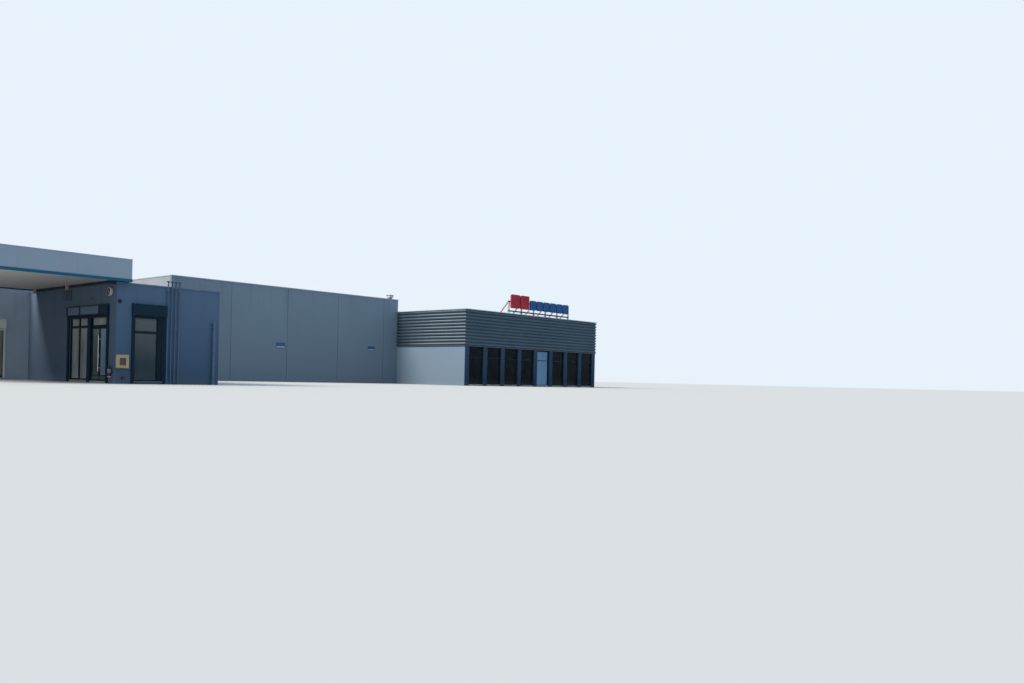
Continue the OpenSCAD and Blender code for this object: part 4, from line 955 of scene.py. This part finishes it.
def range_shutter():
    """End plates, lips, bottom rail and guides of the white box over the range's window."""
    foot, head = RANGE_BOX_LOW.z, RANGE_BOX_HIGH.z
    start, end = RANGE_WINDOW
    guide, end_t = 0.045, 0.005
    parts = []
    for run in (start - end_t, end):
        plate = block("white_end", *RANGE_FRONT.room((run, run + end_t), (0, 0.064), (foot - 0.003, head + 0.003)))
        parts.append(rounded(plate, 0.0015, 2))
    for z in (foot + 0.002, head - 0.014):
        fold = block("white_lip", *RANGE_FRONT.room((start, end), (0.058, 0.0635), (z, z + 0.012)))
        parts.append(rounded(fold, 0.002, 2))
    for run in (start, end - guide):
        channel = block("white_guide", *RANGE_FRONT.room((run, run + guide), (0, 0.028),
                                                         (FLOOR + 0.002, foot - 0.001)))
        parts.append(rounded(inset(channel, facing(1), (0.012, 0.0), (0.001, -0.006)), 0.0015, 1))
    parts.append(curtain_foot("white_curtain", RANGE_FRONT, (start + guide, end - guide), 0.006, foot - 0.067))
    dressed(joined("range_shutter_trims", parts), "white_box")


# Wall fittings of the wing
def wall_plate():
    """Bare sheet plate high on the wing's wall, on four screws."""
    start, end, foot, head, corner = 2.5, 3.018, 2.085, 2.339, 0.012
    plate = block("wall_plate", *SIDE.room((start, end), (0, 0.014), (foot, head)))
    rounded(inset(plate, facing(0), (0.010, 0.0), (0.004, -0.003)), 0.0012)
    screw = screw_head("plate_screws", SIDE.place(start + corner, 0.0135, foot + corner), SIDE.out, 0.0045)
    wide, tall = end - start - 2 * corner, head - foot - 2 * corner
    screws = copies(screw, [SIDE.step(j * wide, k * tall) for j in range(2) for k in range(2)])
    dressed(joined("wall_plate", [plate, screws]), "blank_panel", "bare_plate")


def wall_detector():
    """Small round detector on the street wall under the lamp's height."""
    place = STREET.place(0.08, 0.0, 1.972)
    body = lathe("wall_detector", place, STREET.out,
                 [(0, 0), (0.045, 0), (0.045, 0.012), (0.041, 0.020), (0.032, 0.030), (0.017, 0.036), (0, 0.038)], 28)
    collar = lathe("detector_ring", place, STREET.out,
                   [(0.040, 0.0), (0.050, 0.0), (0.050, 0.006), (0.047, 0.009), (0.040, 0.009)], 28)
    dressed(joined("wall_detector", [body, collar]), "lamp_shell", "black_plastic")


def lamp_guard():
    """Ring and crossed bars before the lamp's lens."""
    low, high = span("wall_lamp")
    x, y, z = low.x - 0.001, (low.y + high.y) / 2, (low.z + high.z) / 2
    ring_r, wire = 0.089, 0.004
    section = [(ring_r + wire * math.cos(math.tau * i / 8), wire * math.sin(math.tau * i / 8)) for i in range(9)]
    ring = lathe("lamp_guard", (x, y, z), (-1, 0, 0), section, 32)
    bar = rounded(rod("guard_bar", (x, y - ring_r, z), (x, y + ring_r, z), 0.003, 8), 0.0006, 1)
    bars = copies(bar, [turned((x, y, z), angle, "X") for angle in (0, 60, 120)])
    dressed(joined("lamp_guard", [ring, bars]), "lamp_shell", "zinc")


def pipe_fittings():
    """Collars and tee caps of the vent pipes, and the rain pipe's collars, shoe and wall rose."""
    low, high = span("vent_pipes")
    tee = 0.032
    x, y, z = low.x + tee, -0.04, high.z - 0.015
    pitch = [i * 0.1 for i in range(4)]
    collar = lathe("vent_collars", (x, y, 0.72), (0, 0, 1),
                   [(0.0152, 0), (0.0185, 0.002), (0.0185, 0.030), (0.0165, 0.036), (0.0152, 0.036)], 20)
    parts = [copies(collar, [(along, 0, up) for along in pitch for up in (0.0, 1.02)])]
    for way in (-1, 1):
        cap = lathe("tee_caps", (x + way * tee, y, z), (way, 0, 0),
                    [(0.0115, 0.0), (0.0165, -0.004), (0.0175, 0.0), (0.0165, 0.004), (0.012, 0.004)], 20)
        parts.append(copies(cap, [(along, 0, 0) for along in pitch]))
    low, high = span("downpipe")
    x, y = (low.x + high.x) / 2, low.y + 0.04
    collar = lathe("rain_collars", (x, y, 0.50), (0, 0, 1),
                   [(0.0352, 0), (0.040, 0.003), (0.040, 0.052), (0.037, 0.060), (0.0352, 0.060)], 28)
    parts.append(copies(collar, [(0, 0, 0), (0, 0, 0.62)]))
    parts.append(lathe("rain_shoe", (x, y, 0.0), (0, 0, 1),
                       [(0.036, 0.0), (0.050, 0.0), (0.050, 0.016), (0.043, 0.022), (0.043, 0.075),
                        (0.036, 0.082)], 28))
    parts.append(lathe("rain_rose", (x, 0.0, 1.6), (0, -1, 0),
                       [(0.035, 0.0), (0.058, 0.0), (0.058, 0.004), (0.048, 0.010), (0.036, 0.012)], 28))
    dressed(joined("pipe_fittings", parts), "pipe_paint")


def fire_fittings():
    """Valve, lever, cone horn, gauge, strap, foot and shelf of the bottle, and rim and bolt of the bell."""
    low, high = span("fire_point")
    x, y, neck = low.x + 0.045, 0.165, 0.398
    valve = rounded(block("bottle_valve", (x - 0.017, y - 0.014, neck), (x + 0.016, y + 0.014, neck + 0.026)), 0.004)
    lever = rounded(block("bottle_lever", (x - 0.052, y - 0.006, neck + 0.026),
                          (x + 0.022, y + 0.006, neck + 0.033)), 0.002)
    horn = lathe("bottle_horn", (x + 0.004, y - 0.014, neck + 0.013), (0, -0.55, -0.83),
                 [(0.0, 0.0), (0.006, 0.0), (0.006, 0.02), (0.010, 0.03), (0.019, 0.075), (0.0165, 0.075),
                  (0.008, 0.034), (0, 0.03)], 20)
    dressed(joined("bottle_valve", [valve, lever, horn]), "red_paint", "black_plastic")
    gauge = lathe("bottle_gauge", (x - 0.017, y, neck + 0.013), (-1, 0, 0),
                  [(0, 0), (0.010, 0), (0.012, 0.002), (0.012, 0.007), (0.0105, 0.008), (0.010, 0.0065),
                   (0, 0.0065)], 20)
    strap = lathe("bottle_strap", (x, y, 0.328), (0, 0, 1),
                  [(0.0452, 0), (0.0475, 0), (0.0475, 0.012), (0.0452, 0.012), (0.0452, 0)], 32)
    foot = lathe("bottle_foot", (x, y, 0.152), (0, 0, 1),
                 [(0, 0), (0.047, 0), (0.048, 0.004), (0.048, 0.014), (0.0455, 0.018), (0.0455, 0.010),
                  (0, 0.010)], 32)
    shelf = rounded(block("bottle_shelf", (-0.012, y - 0.03, 0.146), (0.0, y + 0.03, 0.23)), 0.003)
    bell_y, bell_z = 1.28, high.z - 0.045
    rim = lathe("bell_rim", (-0.018, bell_y, bell_z), (-1, 0, 0),
                [(0.042, -0.002), (0.0475, -0.002), (0.0475, 0.004), (0.0455, 0.006), (0.042, 0.006)], 32)
    bolt = hex_bolt("bell_bolt", (-0.0485, bell_y, bell_z), (-1, 0, 0), 0.006, 0.008)
    dressed(joined("fire_fixings", [gauge, strap, foot, shelf, rim, bolt]), "red_paint", "zinc")


def cabinet_fittings():
    """Rain hood, louvre rim, hinges and lock of the wall cabinet."""
    low, high = span("wall_cabinet")
    x, z = (low.x + high.x) / 2, (low.z + high.z) / 2
    top = high.z + 0.010
    hood = block("cabinet_hood", (low.x - 0.008, low.y - 0.012, high.z), (high.x + 0.008, 0.0, top))
    sloped(hood, STREET, 0.012 - low.y, top, 0.006)
    rim = rounded(band("louvre_rim", (x - 0.081, low.y - 0.004, z - 0.095),
                       (x + 0.081, low.y + 0.002, z + 0.095), 1, 0.008), 0.0015, 1)
    hinge = rounded(rod("cabinet_hinge", (low.x - 0.004, low.y - 0.003, low.z + 0.035),
                        (low.x - 0.004, low.y - 0.003, low.z + 0.075), 0.005, 12), 0.001, 1)
    hinges = copies(hinge, [(0, 0, up) for up in (0, 0.1, 0.205)])
    dressed(joined("cabinet_hood", [rounded(hood, 0.0012), rim, hinges]), "cabinet_paint")
    lock = lathe("cabinet_lock", (high.x - 0.024, low.y, z), (0, -1, 0),
                 [(0, 0), (0.011, 0), (0.011, 0.003), (0.009, 0.006), (0.003, 0.006), (0.003, 0.004), (0, 0.004)], 24)
    dressed(lock, "cabinet_paint", "zinc")


# Canopy
def canopy_edges():
    """Drip edge over the stripe, inner lining of the fascia, and its rivets."""
    corners = FASCIA_LOW.x, FASCIA_LOW.y, FASCIA_HIGH.x, FASCIA_HIGH.y
    drip = traced("drip_edge", ring_points(*corners, -0.001), STRIPE_TOP, 0.013, 0.010, closed=True)
    dressed(rounded(drip, 0.003, 2), "canopy_metal", "drip_edge")
    deck = span("canopy_frame")[1].z
    dressed(traced("fascia_lining", ring_points(*corners, 0.030), deck - 0.002, 0.085, 0.004, closed=True),
            "roof_sheet")
    # Rivets near both edges of the four panels that are seen, above and below
    x0, y0, edge = FASCIA_LOW.x + 0.004, FASCIA_LOW.y + 0.004, 0.04
    studs = []
    for front, start, panel, wide in ((Front(1, y0), x0, 1.2675, 1.18), (Front(0, x0), y0, 1.25, 1.165)):
        stud = screw_head("edge_rivets", front.place(start + edge, 0, FASCIA_LOW.z + 0.05), front.out, 0.005)
        studs.append(copies(stud, [front.step(i * panel + run, up)
                                   for i in range(4) for run in (0, wide) for up in (0, 0.36)]))
    dressed(joined("fascia_rivets", studs), "canopy_metal", "zinc")


def canopy_deck():
    """Standing seams of the canopy's roof sheet and its three outlets."""
    low, high = span("canopy_frame")
    top, edge = high.z, 0.03
    x0, x1 = low.x + 0.17, low.x + 0.188
    seam = block("deck_seams", (x0, low.y + edge, top - 0.001), (x1, high.y - edge, top + 0.03))
    inset(seam, facing(2, 1), (0.003, 0.0))
    edit(seam, "FACE", lambda center, normal: normal.z > 0.9 and abs(center.x - (x0 + x1) / 2) < 0.004)
    bpy.ops.transform.resize(value=(0.6, 1, 1))
    leave_edit()
    dressed(row(rounded(seam, 0.003, 1), 12, (0.419, 0, 0)), "roof_sheet")
    outlet("canopy_outlets", [(-4.5, 0.1, top), (-4.5, 4.5, top), (-0.1, 4.5, top)])


def outlet(name, places):
    """Clamping ring and domed grate of a roof outlet, once for each place."""
    x, y, z = places[0]
    ring = lathe(name, (x, y, z - 0.001), (0, 0, 1),
                 [(0.045, 0), (0.095, 0), (0.093, 0.006), (0.078, 0.010), (0.066, 0.010), (0.062, 0.006),
                  (0.045, 0.004), (0.045, 0)], 28)
    fin = block("grate_fin", (x + 0.012, y - 0.0025, z + 0.004), (x + 0.062, y + 0.0025, z + 0.052))
    edit(fin, "EDGE", lambda middle, along: middle.x > x + 0.06 and middle.z > z + 0.05)
    bpy.ops.transform.translate(value=(-0.022, 0, -0.004))
    leave_edit()
    fins = copies(rounded(fin, 0.001, 1), [turned((x, y, z), i * 30) for i in range(12)])
    crown = lathe("grate_crown", (x, y, z + 0.046), (0, 0, 1),
                  [(0, 0), (0.026, 0), (0.026, 0.004), (0.018, 0.009), (0, 0.011)], 24)
    first = joined(name, [ring, fins, crown])
    dressed(copies(first, [(px - x, py - y, pz - z) for px, py, pz in places]), "roof_sheet", "zinc")


def column_fittings():
    """Anchor bolts, shoes and head collars of the two canopy columns."""
    low, high = span("canopy_columns")
    foot, half = 0.105, 0.075
    x, y = low.x + foot, low.y + foot
    pitch = [(0, 0, 0), (0, high.y - low.y - 2 * foot, 0)]

    def sleeve(name, play, z0, z1):
        reach = half + play
        return rounded(band(name, (x - reach, y - reach, z0), (x + reach, y + reach, z1), 2, play + 0.0005), 0.003, 1)

    collar = sleeve("column_heads", 0.014, SOFFIT_LOW.z - 0.03, SOFFIT_LOW.z)
    shoe = sleeve("column_shoes", 0.008, 0.015, 0.11)
    dressed(copies(joined("column_collars", [collar, shoe]), pitch), "canopy_metal", "zinc")
    bolt = hex_bolt("anchor_bolts", (x + 0.09, y + 0.09, 0.015), (0, 0, 1), 0.0085, 0.022)
    bolts = copies(bolt, [turned((x, y, 0), quarter * 90) for quarter in range(4)])
    dressed(copies(bolts, pitch), "canopy_metal", "zinc")


def canopy_soffit_trim():
    """Angle round the soffit's rim, on its three sides away from the wing."""
    edge, deep = 0.006, 0.010
    x0, y0, x1, y1 = SOFFIT_LOW.x + edge, SOFFIT_LOW.y + edge, -0.10, SOFFIT_HIGH.y - edge
    angle = traced("soffit_angle", [(x1, y0), (x0, y0), (x0, y1), (x1, y1)], SOFFIT_LOW.z - deep, deep, 0.012)
    dressed(rounded(angle, 0.002, 1), "soffit_panel")


# Roofs
def ring_points(x0, y0, x1, y1, gap=0.004):
    """The four corners of a ring, a gap inside two corners of a block."""
    return [(x0 + gap, y0 + gap), (x1 - gap, y0 + gap), (x1 - gap, y1 - gap), (x0 + gap, y1 - gap)]


def roof_edges(name, points, deck):
    """Membrane dressed up inside the parapets, with a clamping bar along its top."""
    upstand = 0.15
    dressed(traced(name + "_upstand", points, deck - 0.004, upstand, 0.010, closed=True), "roof_sheet")
    bar = traced(name + "_clamp_bar", points, deck + upstand - 0.034, 0.022, 0.018, closed=True)
    dressed(rounded(bar, 0.002, 1), "roof_sheet", "zinc")


def roof_details():
    """Edges and outlets of the four roofs."""
    wing_top, range_top, hall_top, entrance_top = [
        span(name)[1].z for name in ("wing_roof", "range_roof", "hall_roof", "entrance_roof")]
    gap = 0.004
    inner = WALL + gap
    end_x = ENTRANCE_HIGH.x + WALL - inner
    left, back = RANGE_LOW.x + inner, BACK - inner
    roof_edges("wing_roof", ring_points(WALL, WALL, WING_HIGH.x - WALL, RANGE_LOW.y), wing_top)
    roof_edges("range_roof", [(left, RANGE_LOW.y + inner), (WING_HIGH.x - inner, RANGE_LOW.y + inner),
                              (WING_HIGH.x - inner, HALL_LOW.y + inner), (HALL_LOW.x - gap, HALL_LOW.y + inner),
                              (HALL_LOW.x - gap, back), (left, back)], range_top)
    roof_edges("hall_roof", ring_points(HALL_LOW.x + WALL, HALL_LOW.y + WALL, HALL_HIGH.x - WALL, BACK - WALL),
               hall_top)
    roof_edges("entrance_roof", [(HALL_HIGH.x + inner, ENTRANCE_LOW.y + inner), (end_x, ENTRANCE_LOW.y + inner),
                                 (end_x, back), (HALL_HIGH.x + gap, back), (HALL_HIGH.x + gap, HALL_LOW.y + gap),
                                 (HALL_HIGH.x + inner, HALL_LOW.y + gap)], entrance_top)
    outlet("wing_outlets", [(0.7, 4.8, wing_top), (2.1, 0.6, wing_top)])
    outlet("range_outlets", [(-4.3, y, range_top) for y in (6.4, 11.5, 16.8, 22.1)]
           + [(6.1, y, range_top) for y in (11.5, 16.8, 22.1)])
    outlet("hall_outlets", [(x, y, hall_top) for x in (7.6, 17.0) for y in (12.6, 17.0, 21.4)])
    outlet("entrance_outlets", [(x, y, entrance_top) for x in (18.9, 26.6) for y in (8.6, 15.0, 21.4)])


def coping_strap(x, y, top, wide, along):
    """A folded cover strap over a coping joint; along is the axis of the coping."""
    half, reach = 0.035, wide / 2 + 0.003
    low = [x - reach, y - reach, top - 0.034]
    high = [x + reach, y + reach, top + 0.003]
    middle = (x, y)[along]
    low[along], high[along] = middle - half, middle + half
    strap = block("coping_strap", low, high)
    edit(strap, "FACE", lambda center, normal: normal.z < -0.9 or abs(normal[along]) > 0.9)
    bpy.ops.mesh.delete(type="FACE")
    leave_edit()
    return modify(strap, "SOLIDIFY", thickness=0.0045, offset=-1, use_even_offset=True)


def coping_straps():
    """Straps at even steps: first place, level, width, axis, number and step of each run."""
    lap, cover = 0.02, 0.03
    narrow = WALL + 2 * lap
    broad = CLAD_HIGH.x - ENTRANCE_HIGH.x - WALL + narrow
    wing_top, range_top, hall_top, entrance_top = [
        wall_top + cover for wall_top in (WING_HIGH.z, RANGE_TOP, HALL_HIGH.z, ENTRANCE_HIGH.z)]
    half = WALL / 2
    wing_x, range_x, hall_x, hall_end = (
        WING_HIGH.x - half, RANGE_LOW.x + half, HALL_LOW.x + half, HALL_HIGH.x - half)
    range_y, hall_y, back = RANGE_LOW.y + half, HALL_LOW.y + half, BACK - half
    front = CLAD_LOW.y - lap + broad / 2
    clad_left, clad_right = CLAD_LOW.x + 0.086, CLAD_HIGH.x - 0.086
    runs = (
        (0.95, half, wing_top, narrow, 0, 2, 1.15), (wing_x, 1.3, wing_top, narrow, 1, 3, 1.3),
        (-4.0, range_y, range_top, narrow, 0, 5, 1.5), (range_x, 6.7, range_top, narrow, 1, 9, 1.9),
        (-3.9, back, range_top, narrow, 0, 6, 1.9), (wing_x, 6.6, range_top, narrow, 1, 2, 1.6),
        (3.6, hall_y, range_top, narrow, 0, 2, 1.5), (8.2, hall_y, hall_top, narrow, 0, 6, 1.6),
        (hall_x, 11.9, hall_top, narrow, 1, 6, 1.9), (hall_end, 11.9, hall_top, narrow, 1, 6, 1.9),
        (8.2, back, hall_top, narrow, 0, 6, 1.6), (18.52, front, entrance_top, broad, 0, 5, 1.78),
        (clad_left, 6.9, entrance_top, broad, 1, 2, 1.5), (clad_right, 7.3, entrance_top, broad, 1, 8, 1.9),
        (19.2, back, entrance_top, narrow, 0, 5, 1.8))
    parts = [row(coping_strap(x, y, top, wide, along), count, ((step, 0, 0), (0, step, 0))[along])
             for x, y, top, wide, along, count, step in runs]
    dressed(joined("coping_straps", parts), "coping_metal")


def vent_fittings():
    """Slot blades, skirt and studs of the square roof vent."""
    low, high = span("roof_vent")
    x, y = (low.x + high.x) / 2, (low.y + high.y) / 2

    def sleeve(name, reach, z0, z1, thick):
        return rounded(band(name, (x - reach, y - reach, z0), (x + reach, y + reach, z1), 2, thick), 0.001, 1)

    blades = row(sleeve("vent_blade", 0.084, high.z - 0.176, high.z - 0.170, 0.016), 4, (0, 0, 0.014))
    skirt = sleeve("vent_skirt", 0.106, high.z - 0.40, high.z - 0.372, 0.007)
    stud = screw_head("vent_stud", (x - 0.09, low.y + 0.01, high.z - 0.08), (0, -1, 0), 0.005)
    studs = copies(stud, [(i * 0.06, 0, 0) for i in range(4)])
    dressed(joined("vent_blades", [blades, skirt, studs]), "coping_metal", "zinc")


# Hall
def panel_sealant():
    """Sealant set back in the upright joints of the wall panels."""
    foot, half, panel, rest = FLOOR + 0.002, 0.0069, 2.6, 0.4
    set_back, deep = 0.004, 0.006
    right = ENTRANCE_HIGH.x + WALL
    parts = []

    def along_street(x, y, top):
        parts.append(block("sealant", (x - half, y, foot), (x + half, y + deep, top)))

    for i in range(4):
        x = HALL_HIGH.x - 0.85 - i * panel
        along_street(x, HALL_LOW.y + set_back, HALL_HIGH.z)
        along_street(x, BACK - set_back - deep, HALL_HIGH.z)
    for i in range(1, 4):
        along_street(HALL_HIGH.x + i * panel, BACK - set_back - deep, ENTRANCE_HIGH.z)
    for i in range(1, 1 + int((HALL_LOW.x - rest - RANGE_LOW.x) / panel)):
        along_street(RANGE_LOW.x + i * panel, BACK - set_back - deep, RANGE_TOP)
    for i in range(1, 1 + int((BACK - rest - HALL_LOW.y) / panel)):
        y = HALL_LOW.y + i * panel
        for x, top in ((RANGE_LOW.x + set_back, RANGE_TOP), (right - set_back - deep, CLAD_LOW.z)):
            parts.append(block("sealant", (x, y - half, foot), (x + deep, y + half, top)))
    dressed(rounded(joined("panel_sealant", parts), 0.0015, 1), "wall_paint", "sealant")


def hall_plates():
    """Two bare blue plates with a pale lower strip on the hall's street wall."""
    front = Front(1, HALL_LOW.y)
    edge = 0.016
    plates, strips = [], []
    for start, foot, end, head in ((11.27, 1.40, 11.705, 1.61), (16.10, 1.476, 16.48, 1.669)):
        plate = block("hall_plate", *front.room((start, end), (0, edge), (foot, head)))
        plates.append(rounded(inset(plate, facing(1), (0.008, 0.0), (0.003, -0.003)), 0.0015, 1))
        strip = block("plate_strip", *front.room((start + edge, end - edge), (0.012, 0.0165),
                                                 (foot + 0.014, foot + 0.058)))
        strips.append(rounded(strip, 0.001, 1))
    dressed(joined("hall_plates", plates), "blue_sheet", "plate_blue")
    dressed(joined("hall_plate_strips", strips), "blue_sheet", "plate_strip")


# Entrance block
def entrance_bays():
    """Beads, pressure caps and sills of the eight glazed bays, and the pale pane of the fifth."""
    low, high = span("entrance_frames")
    count, wide, bar, foot = 8, 0.92, 0.03, low.z
    pitch = (high.x - low.x - wide) / (count - 1)
    front = Front(1, ENTRANCE_LOW.y)
    x0, x1 = low.x, low.x + wide
    bays = [(i * pitch, 0, 0) for i in range(count)]
    inner = x0 + bar, x1 - bar
    lights = [beads("bay_beads", *front.room(inner, (-0.041, -0.051), heights), 1)
              for heights in ((foot + bar, 1.23), (1.26, high.z - bar))]
    dressed(copies(joined("bay_beads", lights), bays), "dark_frame", "gasket")
    uprights, bars = (foot + 0.002, high.z - 0.002), (inner[0] - 0.002, inner[1] + 0.002)
    caps = [rounded(block("bay_cap", *front.room(runs, (-0.019, -0.025), heights)), 0.003, 2)
            for runs, heights in (((x0 + 0.003, x0 + 0.027), uprights), ((x1 - 0.027, x1 - 0.003), uprights),
                                  (bars, (1.233, 1.257)), (bars, (1.723, 1.747)))]
    dressed(copies(joined("bay_caps", caps), bays), "dark_frame")
    reach, top = 0.022, foot + 0.016
    sill = block("bay_sills", *front.room((x0 + 0.001, x1 - 0.001), (reach, -0.026), (foot, top)))
    dressed(copies(rounded(sloped(sill, front, reach, top, 0.010), 0.0015, 1), bays), "coping_metal", "zinc")
    start = x0 + 4 * pitch
    pane = block("pale_pane", *front.room((start + bar, start + 0.82), (-0.030, -0.040), (0.09, 1.67)))
    dressed(rounded(inset(pane, facing(1), (0.012, 0.0), (0.003, -0.004)), 0.0015, 1), "blank_panel", "pale_pane")


def rib_profile():
    """Distance out and height of each corner of the ribbed sheet, from its foot to its top."""
    step = (CLAD_HIGH.z - CLAD_LOW.z) / RIBS
    slope, crown = step * 0.12, step * 0.42
    half_valley = (step - crown - 2 * slope) / 2
    sheet, out = 0.012, 0.047
    corners = [(sheet, 0.0)]
    for i in range(RIBS):
        start = i * step + half_valley
        corners += [(sheet, start), (out, start + slope), (out, start + slope + crown),
                    (sheet, start + 2 * slope + crown)]
    return corners + [(sheet, RIBS * step)]


def cladding_trims():
    """Foot flashing, and lap strips that follow the ribs."""
    left, right, front = HALL_HIGH.x, ENTRANCE_HIGH.x + WALL, ENTRANCE_LOW.y

    def round_block(out):
        return [(left - out, HALL_LOW.y), (left - out, front - out), (right + out, front - out), (right + out, BACK)]

    drip = traced("clad_foot", round_block(0.049), CLAD_LOW.z - 0.022, 0.034, 0.004)
    ledge = traced("clad_ledge", round_block(0.024), CLAD_LOW.z - 0.006, 0.005, 0.046)
    dressed(joined("clad_foot_flashing", [drip, ledge]), "coping_metal", "bare_plate")
    # Where each lap stands: a place on the wall, the way out of it and the way along it
    places = [((left + run, front), (0, -1), (0.05, 0, 0)) for run in (3.2, 6.4)]
    places.append(((left, front + 2.2), (-1, 0), (0, 0.05, 0)))
    places += [((right, front + 3.2 * i), (1, 0), (0, 0.05, 0)) for i in range(1, 6)]
    laps = []
    for (x, y), (out_x, out_y), sweep in places:
        points = [(x + out_x * (out + 0.0012), y + out_y * (out + 0.0012), CLAD_LOW.z + up)
                  for out, up in rib_profile()]
        laps.append(swept("clad_lap", points, sweep, 0.0022))
    dressed(joined("clad_laps", laps), "cladding_metal")


# Roof sign
def tile(name, low, high, corner):
    """One blank tile with round corners, a raised rim and a sunk face."""
    piece = block(name, low, high)
    edit(piece, "EDGE", lambda middle, along: abs(along.y) > 0.9)
    bpy.ops.mesh.bevel(offset=corner, segments=7)
    leave_edit()
    inset(piece, facing(1), (0.016, 0.0), (0.004, -0.006))
    inset(piece, facing(1, 1), (0.014, 0.0), (0.003, -0.004))
    return rounded(piece, 0.003, 2)


def sign_tiles():
    """Two tall red tiles and six blue ones, in place of the plain solids."""
    gap = 0.06
    for node, count, slot in (("sign_red_tiles", 2, "red_sheet"), ("sign_blue_tiles", 6, "blue_sheet")):
        low, high = span(node)
        wide = (high.x - low.x - (count - 1) * gap) / count
        first = tile(node + "_moulded", low, (low.x + wide, high.y, high.z), 0.07)
        faces = dressed(row(first, count, (wide + gap, 0, 0)), slot, smooth=35)
        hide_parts(node)


def sign_fixings():
    """Foot plates, gussets and bolts of the sign's six posts and braces, and caps on its rails' ends."""
    low, high = span("sign_frame")
    posts, half, plate = 6, 0.03, 0.008
    coping, roof = ENTRANCE_HIGH.z + 0.03, span("entrance_roof")[1].z
    pitch = (high.x - low.x - 2 * half) / (posts - 1)
    x, y = low.x + half, ENTRANCE_LOW.y + WALL / 2
    brace_y = y + 0.8
    foot = rounded(block("post_foot", (x - 0.07, y - 0.07, coping), (x + 0.07, y + 0.07, coping + plate)), 0.002)
    shoe = rounded(block("brace_foot", (x - 0.06, brace_y - 0.05, roof), (x + 0.06, brace_y + 0.09, roof + plate)),
                   0.002)
    gusset = traced("post_gusset", [(x - 0.002, y - 0.03), (x - 0.002, y - 0.06)], coping + 0.006, 0.05, 0.006)
    places = [(x + i * 0.052, y + j * 0.052, coping + plate) for i in (-1, 1) for j in (-1, 1)]
    places += [(x + i * 0.045, brace_y + 0.075, roof + plate) for i in (-1, 1)]
    bolts = [hex_bolt("foot_bolt", place, (0, 0, 1), 0.008, 0.018) for place in places]
    first = joined("sign_feet", [foot, gusset, shoe] + bolts)
    dressed(copies(first, [(i * pitch, 0, 0) for i in range(posts)]), "sign_metal", "zinc")
    cap_half, cap_t = 0.033, 0.004
    cap = rounded(block("rail_caps", (low.x - cap_t, y - cap_half, LOWER_RAIL - cap_half),
                        (low.x, y + cap_half, LOWER_RAIL + cap_half)), 0.0015)
    caps = copies(cap, [(along, 0, up) for along in (0, high.x - low.x + cap_t) for up in (0, UPPER_RAIL - LOWER_RAIL)])
    dressed(caps, "sign_metal")


for fitting in (doorway, shop_beads, shop_sills, stile_panel, shutter_parts, header_trims, range_shutter, wall_plate,
                wall_detector, lamp_guard, pipe_fittings, fire_fittings, cabinet_fittings, canopy_edges, canopy_deck,
                column_fittings, canopy_soffit_trim, roof_details, coping_straps, vent_fittings, panel_sealant,
                hall_plates, entrance_bays, cladding_trims, sign_tiles, sign_fixings):
    fitting()


# Stage, light and camera
def pale_stage():
    """A plain pale floor that runs to the horizon and throws back less light than it shows."""
    clear_selection()
    bpy.ops.mesh.primitive_plane_add(size=900, location=(0, 0, -0.001))
    floor = settled("studio_floor")
    shown, bounced = (0.56, 0.57, 0.58), (0.40, 0.41, 0.42)
    paint = Paint("studio_floor", shown, 0.95, gloss=0.0)
    paint.put("Base Color", paint.blend(paint.seen_directly(), bounced, shown))
    floor.data.materials.append(paint.material)


def soft_light():
    """A pale world and one broad lamp from behind and to the left."""
    world = bpy.data.worlds.new("studio_sky")
    bpy.context.scene.world = world
    sky = Nodes(world, "ShaderNodeOutputWorld")
    lit = sky.node("ShaderNodeBackground", None, {"Color": (0.72, 0.87, 1.0, 1), "Strength": 0.72})
    seen = sky.node("ShaderNodeBackground", None, {"Color": (0.80, 0.89, 0.97, 1)})
    mixed = sky.node("ShaderNodeMixShader", None, {0: sky.seen_directly(), 1: lit, 2: seen})
    sky.fill(sky.output.inputs[0], mixed)
    key = bpy.data.lights.new("key", "SUN")
    key.energy = 4.0
    key.angle = math.radians(24)
    key.color = (1.0, 0.92, 0.82)
    lamp = bpy.data.objects.new("key", key)
    lamp.rotation_euler = Vector((0.86, -0.12, -0.62)).to_track_quat("-Z", "Y").to_euler()
    bpy.context.collection.objects.link(lamp)


def photo_camera():
    """The photograph's viewpoint: low, level and turned a little anticlockwise."""
    sight, roll = Vector((0.7547, 0.6561, 0.0)), math.radians(1.32)
    camera = bpy.data.objects.new("camera", bpy.data.cameras.new("camera"))
    camera.data.lens = 30.92
    camera.data.sensor_width = 36
    camera.data.shift_y = 0.037
    camera.data.clip_end = 2000
    turn = sight.to_track_quat("-Z", "Y").to_matrix() @ Matrix.Rotation(roll, 3, "Z")
    camera.matrix_world = Matrix.Translation(at(-9.59, -20.855, 0.32)) @ turn.to_4x4()
    bpy.context.collection.objects.link(camera)
    bpy.context.scene.camera = camera


pale_stage()
soft_light()
photo_camera()
bpy.context.scene.view_settings.view_transform = "Standard"
